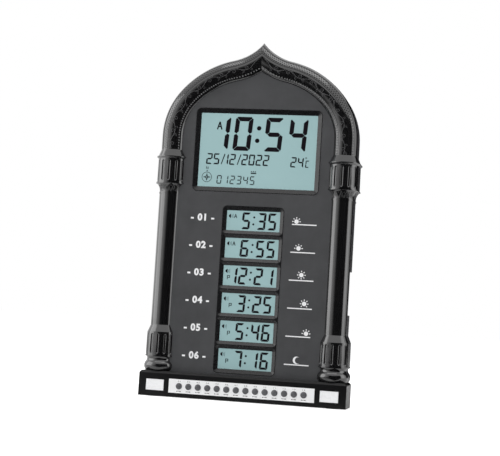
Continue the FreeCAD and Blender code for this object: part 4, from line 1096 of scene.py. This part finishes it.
def reflected_card(name, points, faces, fade_from, fade_to):
    """A dark card that only reflections see, whose glow fades to nothing between two places along x."""
    paint, tree, shader = dull_paint(name + "_paint", card_tone, 1.0)
    across = tree.nodes.new("ShaderNodeSeparateXYZ")
    tree.links.new(tree.nodes.new("ShaderNodeTexCoord").outputs["Object"], across.inputs["Vector"])
    fade = tree.nodes.new("ShaderNodeMapRange")
    fade.inputs["From Min"].default_value = fade_from
    fade.inputs["From Max"].default_value = fade_to
    fade.inputs["To Min"].default_value = 1.0
    fade.inputs["To Max"].default_value = 0.0
    tree.links.new(across.outputs["X"], fade.inputs["Value"])
    tree.links.new(fade.outputs["Result"], shader.inputs["Emission Strength"])
    card = stage_sheet(name, points.tolist(), faces.tolist(), paint)
    card.visible_camera = False
    card.visible_diffuse = False
    card.visible_transmission = False
    card.visible_shadow = False


def sector(bearings, inner, outer, low_z, high_z):
    """A strip of quads about the clock: two arcs at the given radii and heights between two bearings,
    which are in degrees from the front."""
    bearing = np.radians(np.linspace(*bearings, card_steps))
    way = np.stack([np.sin(bearing), -np.cos(bearing)], axis=1)
    points = np.concatenate([np.column_stack([way * inner, np.full(card_steps, low_z)]),
                             np.column_stack([way * outer, np.full(card_steps, high_z)])])
    i = np.arange(card_steps - 1)
    return points, np.stack([i, i + 1, i + 1 + card_steps, i + card_steps], axis=1)


floor = stage_sheet("floor", [(-floor_reach, -floor_reach, 0), (floor_reach, -floor_reach, 0),
                              (floor_reach, floor_reach, 0), (-floor_reach, floor_reach, 0)],
                    [(0, 1, 2, 3)], floor_paint())
reflected_card("dark_wall", *sector(front_bearings, card_radius, card_radius, 0.0, front_card_top),
               *front_fade)
reflected_card("dark_floor", *sector(front_bearings, floor_card_inner, card_radius, floor_card_z,
                                     floor_card_z), *front_fade)
reflected_card("dark_flag", *sector(rear_bearings, card_radius, card_radius, 0.0, rear_card_top),
               *past_all_x)


# Camera

camera_azimuth = math.radians(11.2)
camera_elevation = math.radians(-4.3)
camera_roll = math.radians(3.5)
camera_distance = 1.4477
camera_target = Vector((-0.0048, 0.0, 0.1964))
camera_lens = 91.4
camera_sensor = 36.0

back = Vector((math.sin(camera_azimuth) * math.cos(camera_elevation),
               -math.cos(camera_azimuth) * math.cos(camera_elevation), math.sin(camera_elevation)))
level = Vector((math.cos(camera_azimuth), math.sin(camera_azimuth), 0.0))
upright = back.cross(level)
right = math.cos(camera_roll) * level + math.sin(camera_roll) * upright
up = -math.sin(camera_roll) * level + math.cos(camera_roll) * upright
turned = Matrix((right, up, back)).transposed().to_4x4()
turned.translation = camera_target + back * camera_distance
camera_data = bpy.data.cameras.new("camera")
camera_data.lens = camera_lens
camera_data.sensor_width = camera_sensor
camera = bpy.data.objects.new("camera", camera_data)
camera.matrix_world = turned
bpy.context.scene.collection.objects.link(camera)
bpy.context.scene.camera = camera
bpy.context.scene.view_settings.view_transform = "Standard"
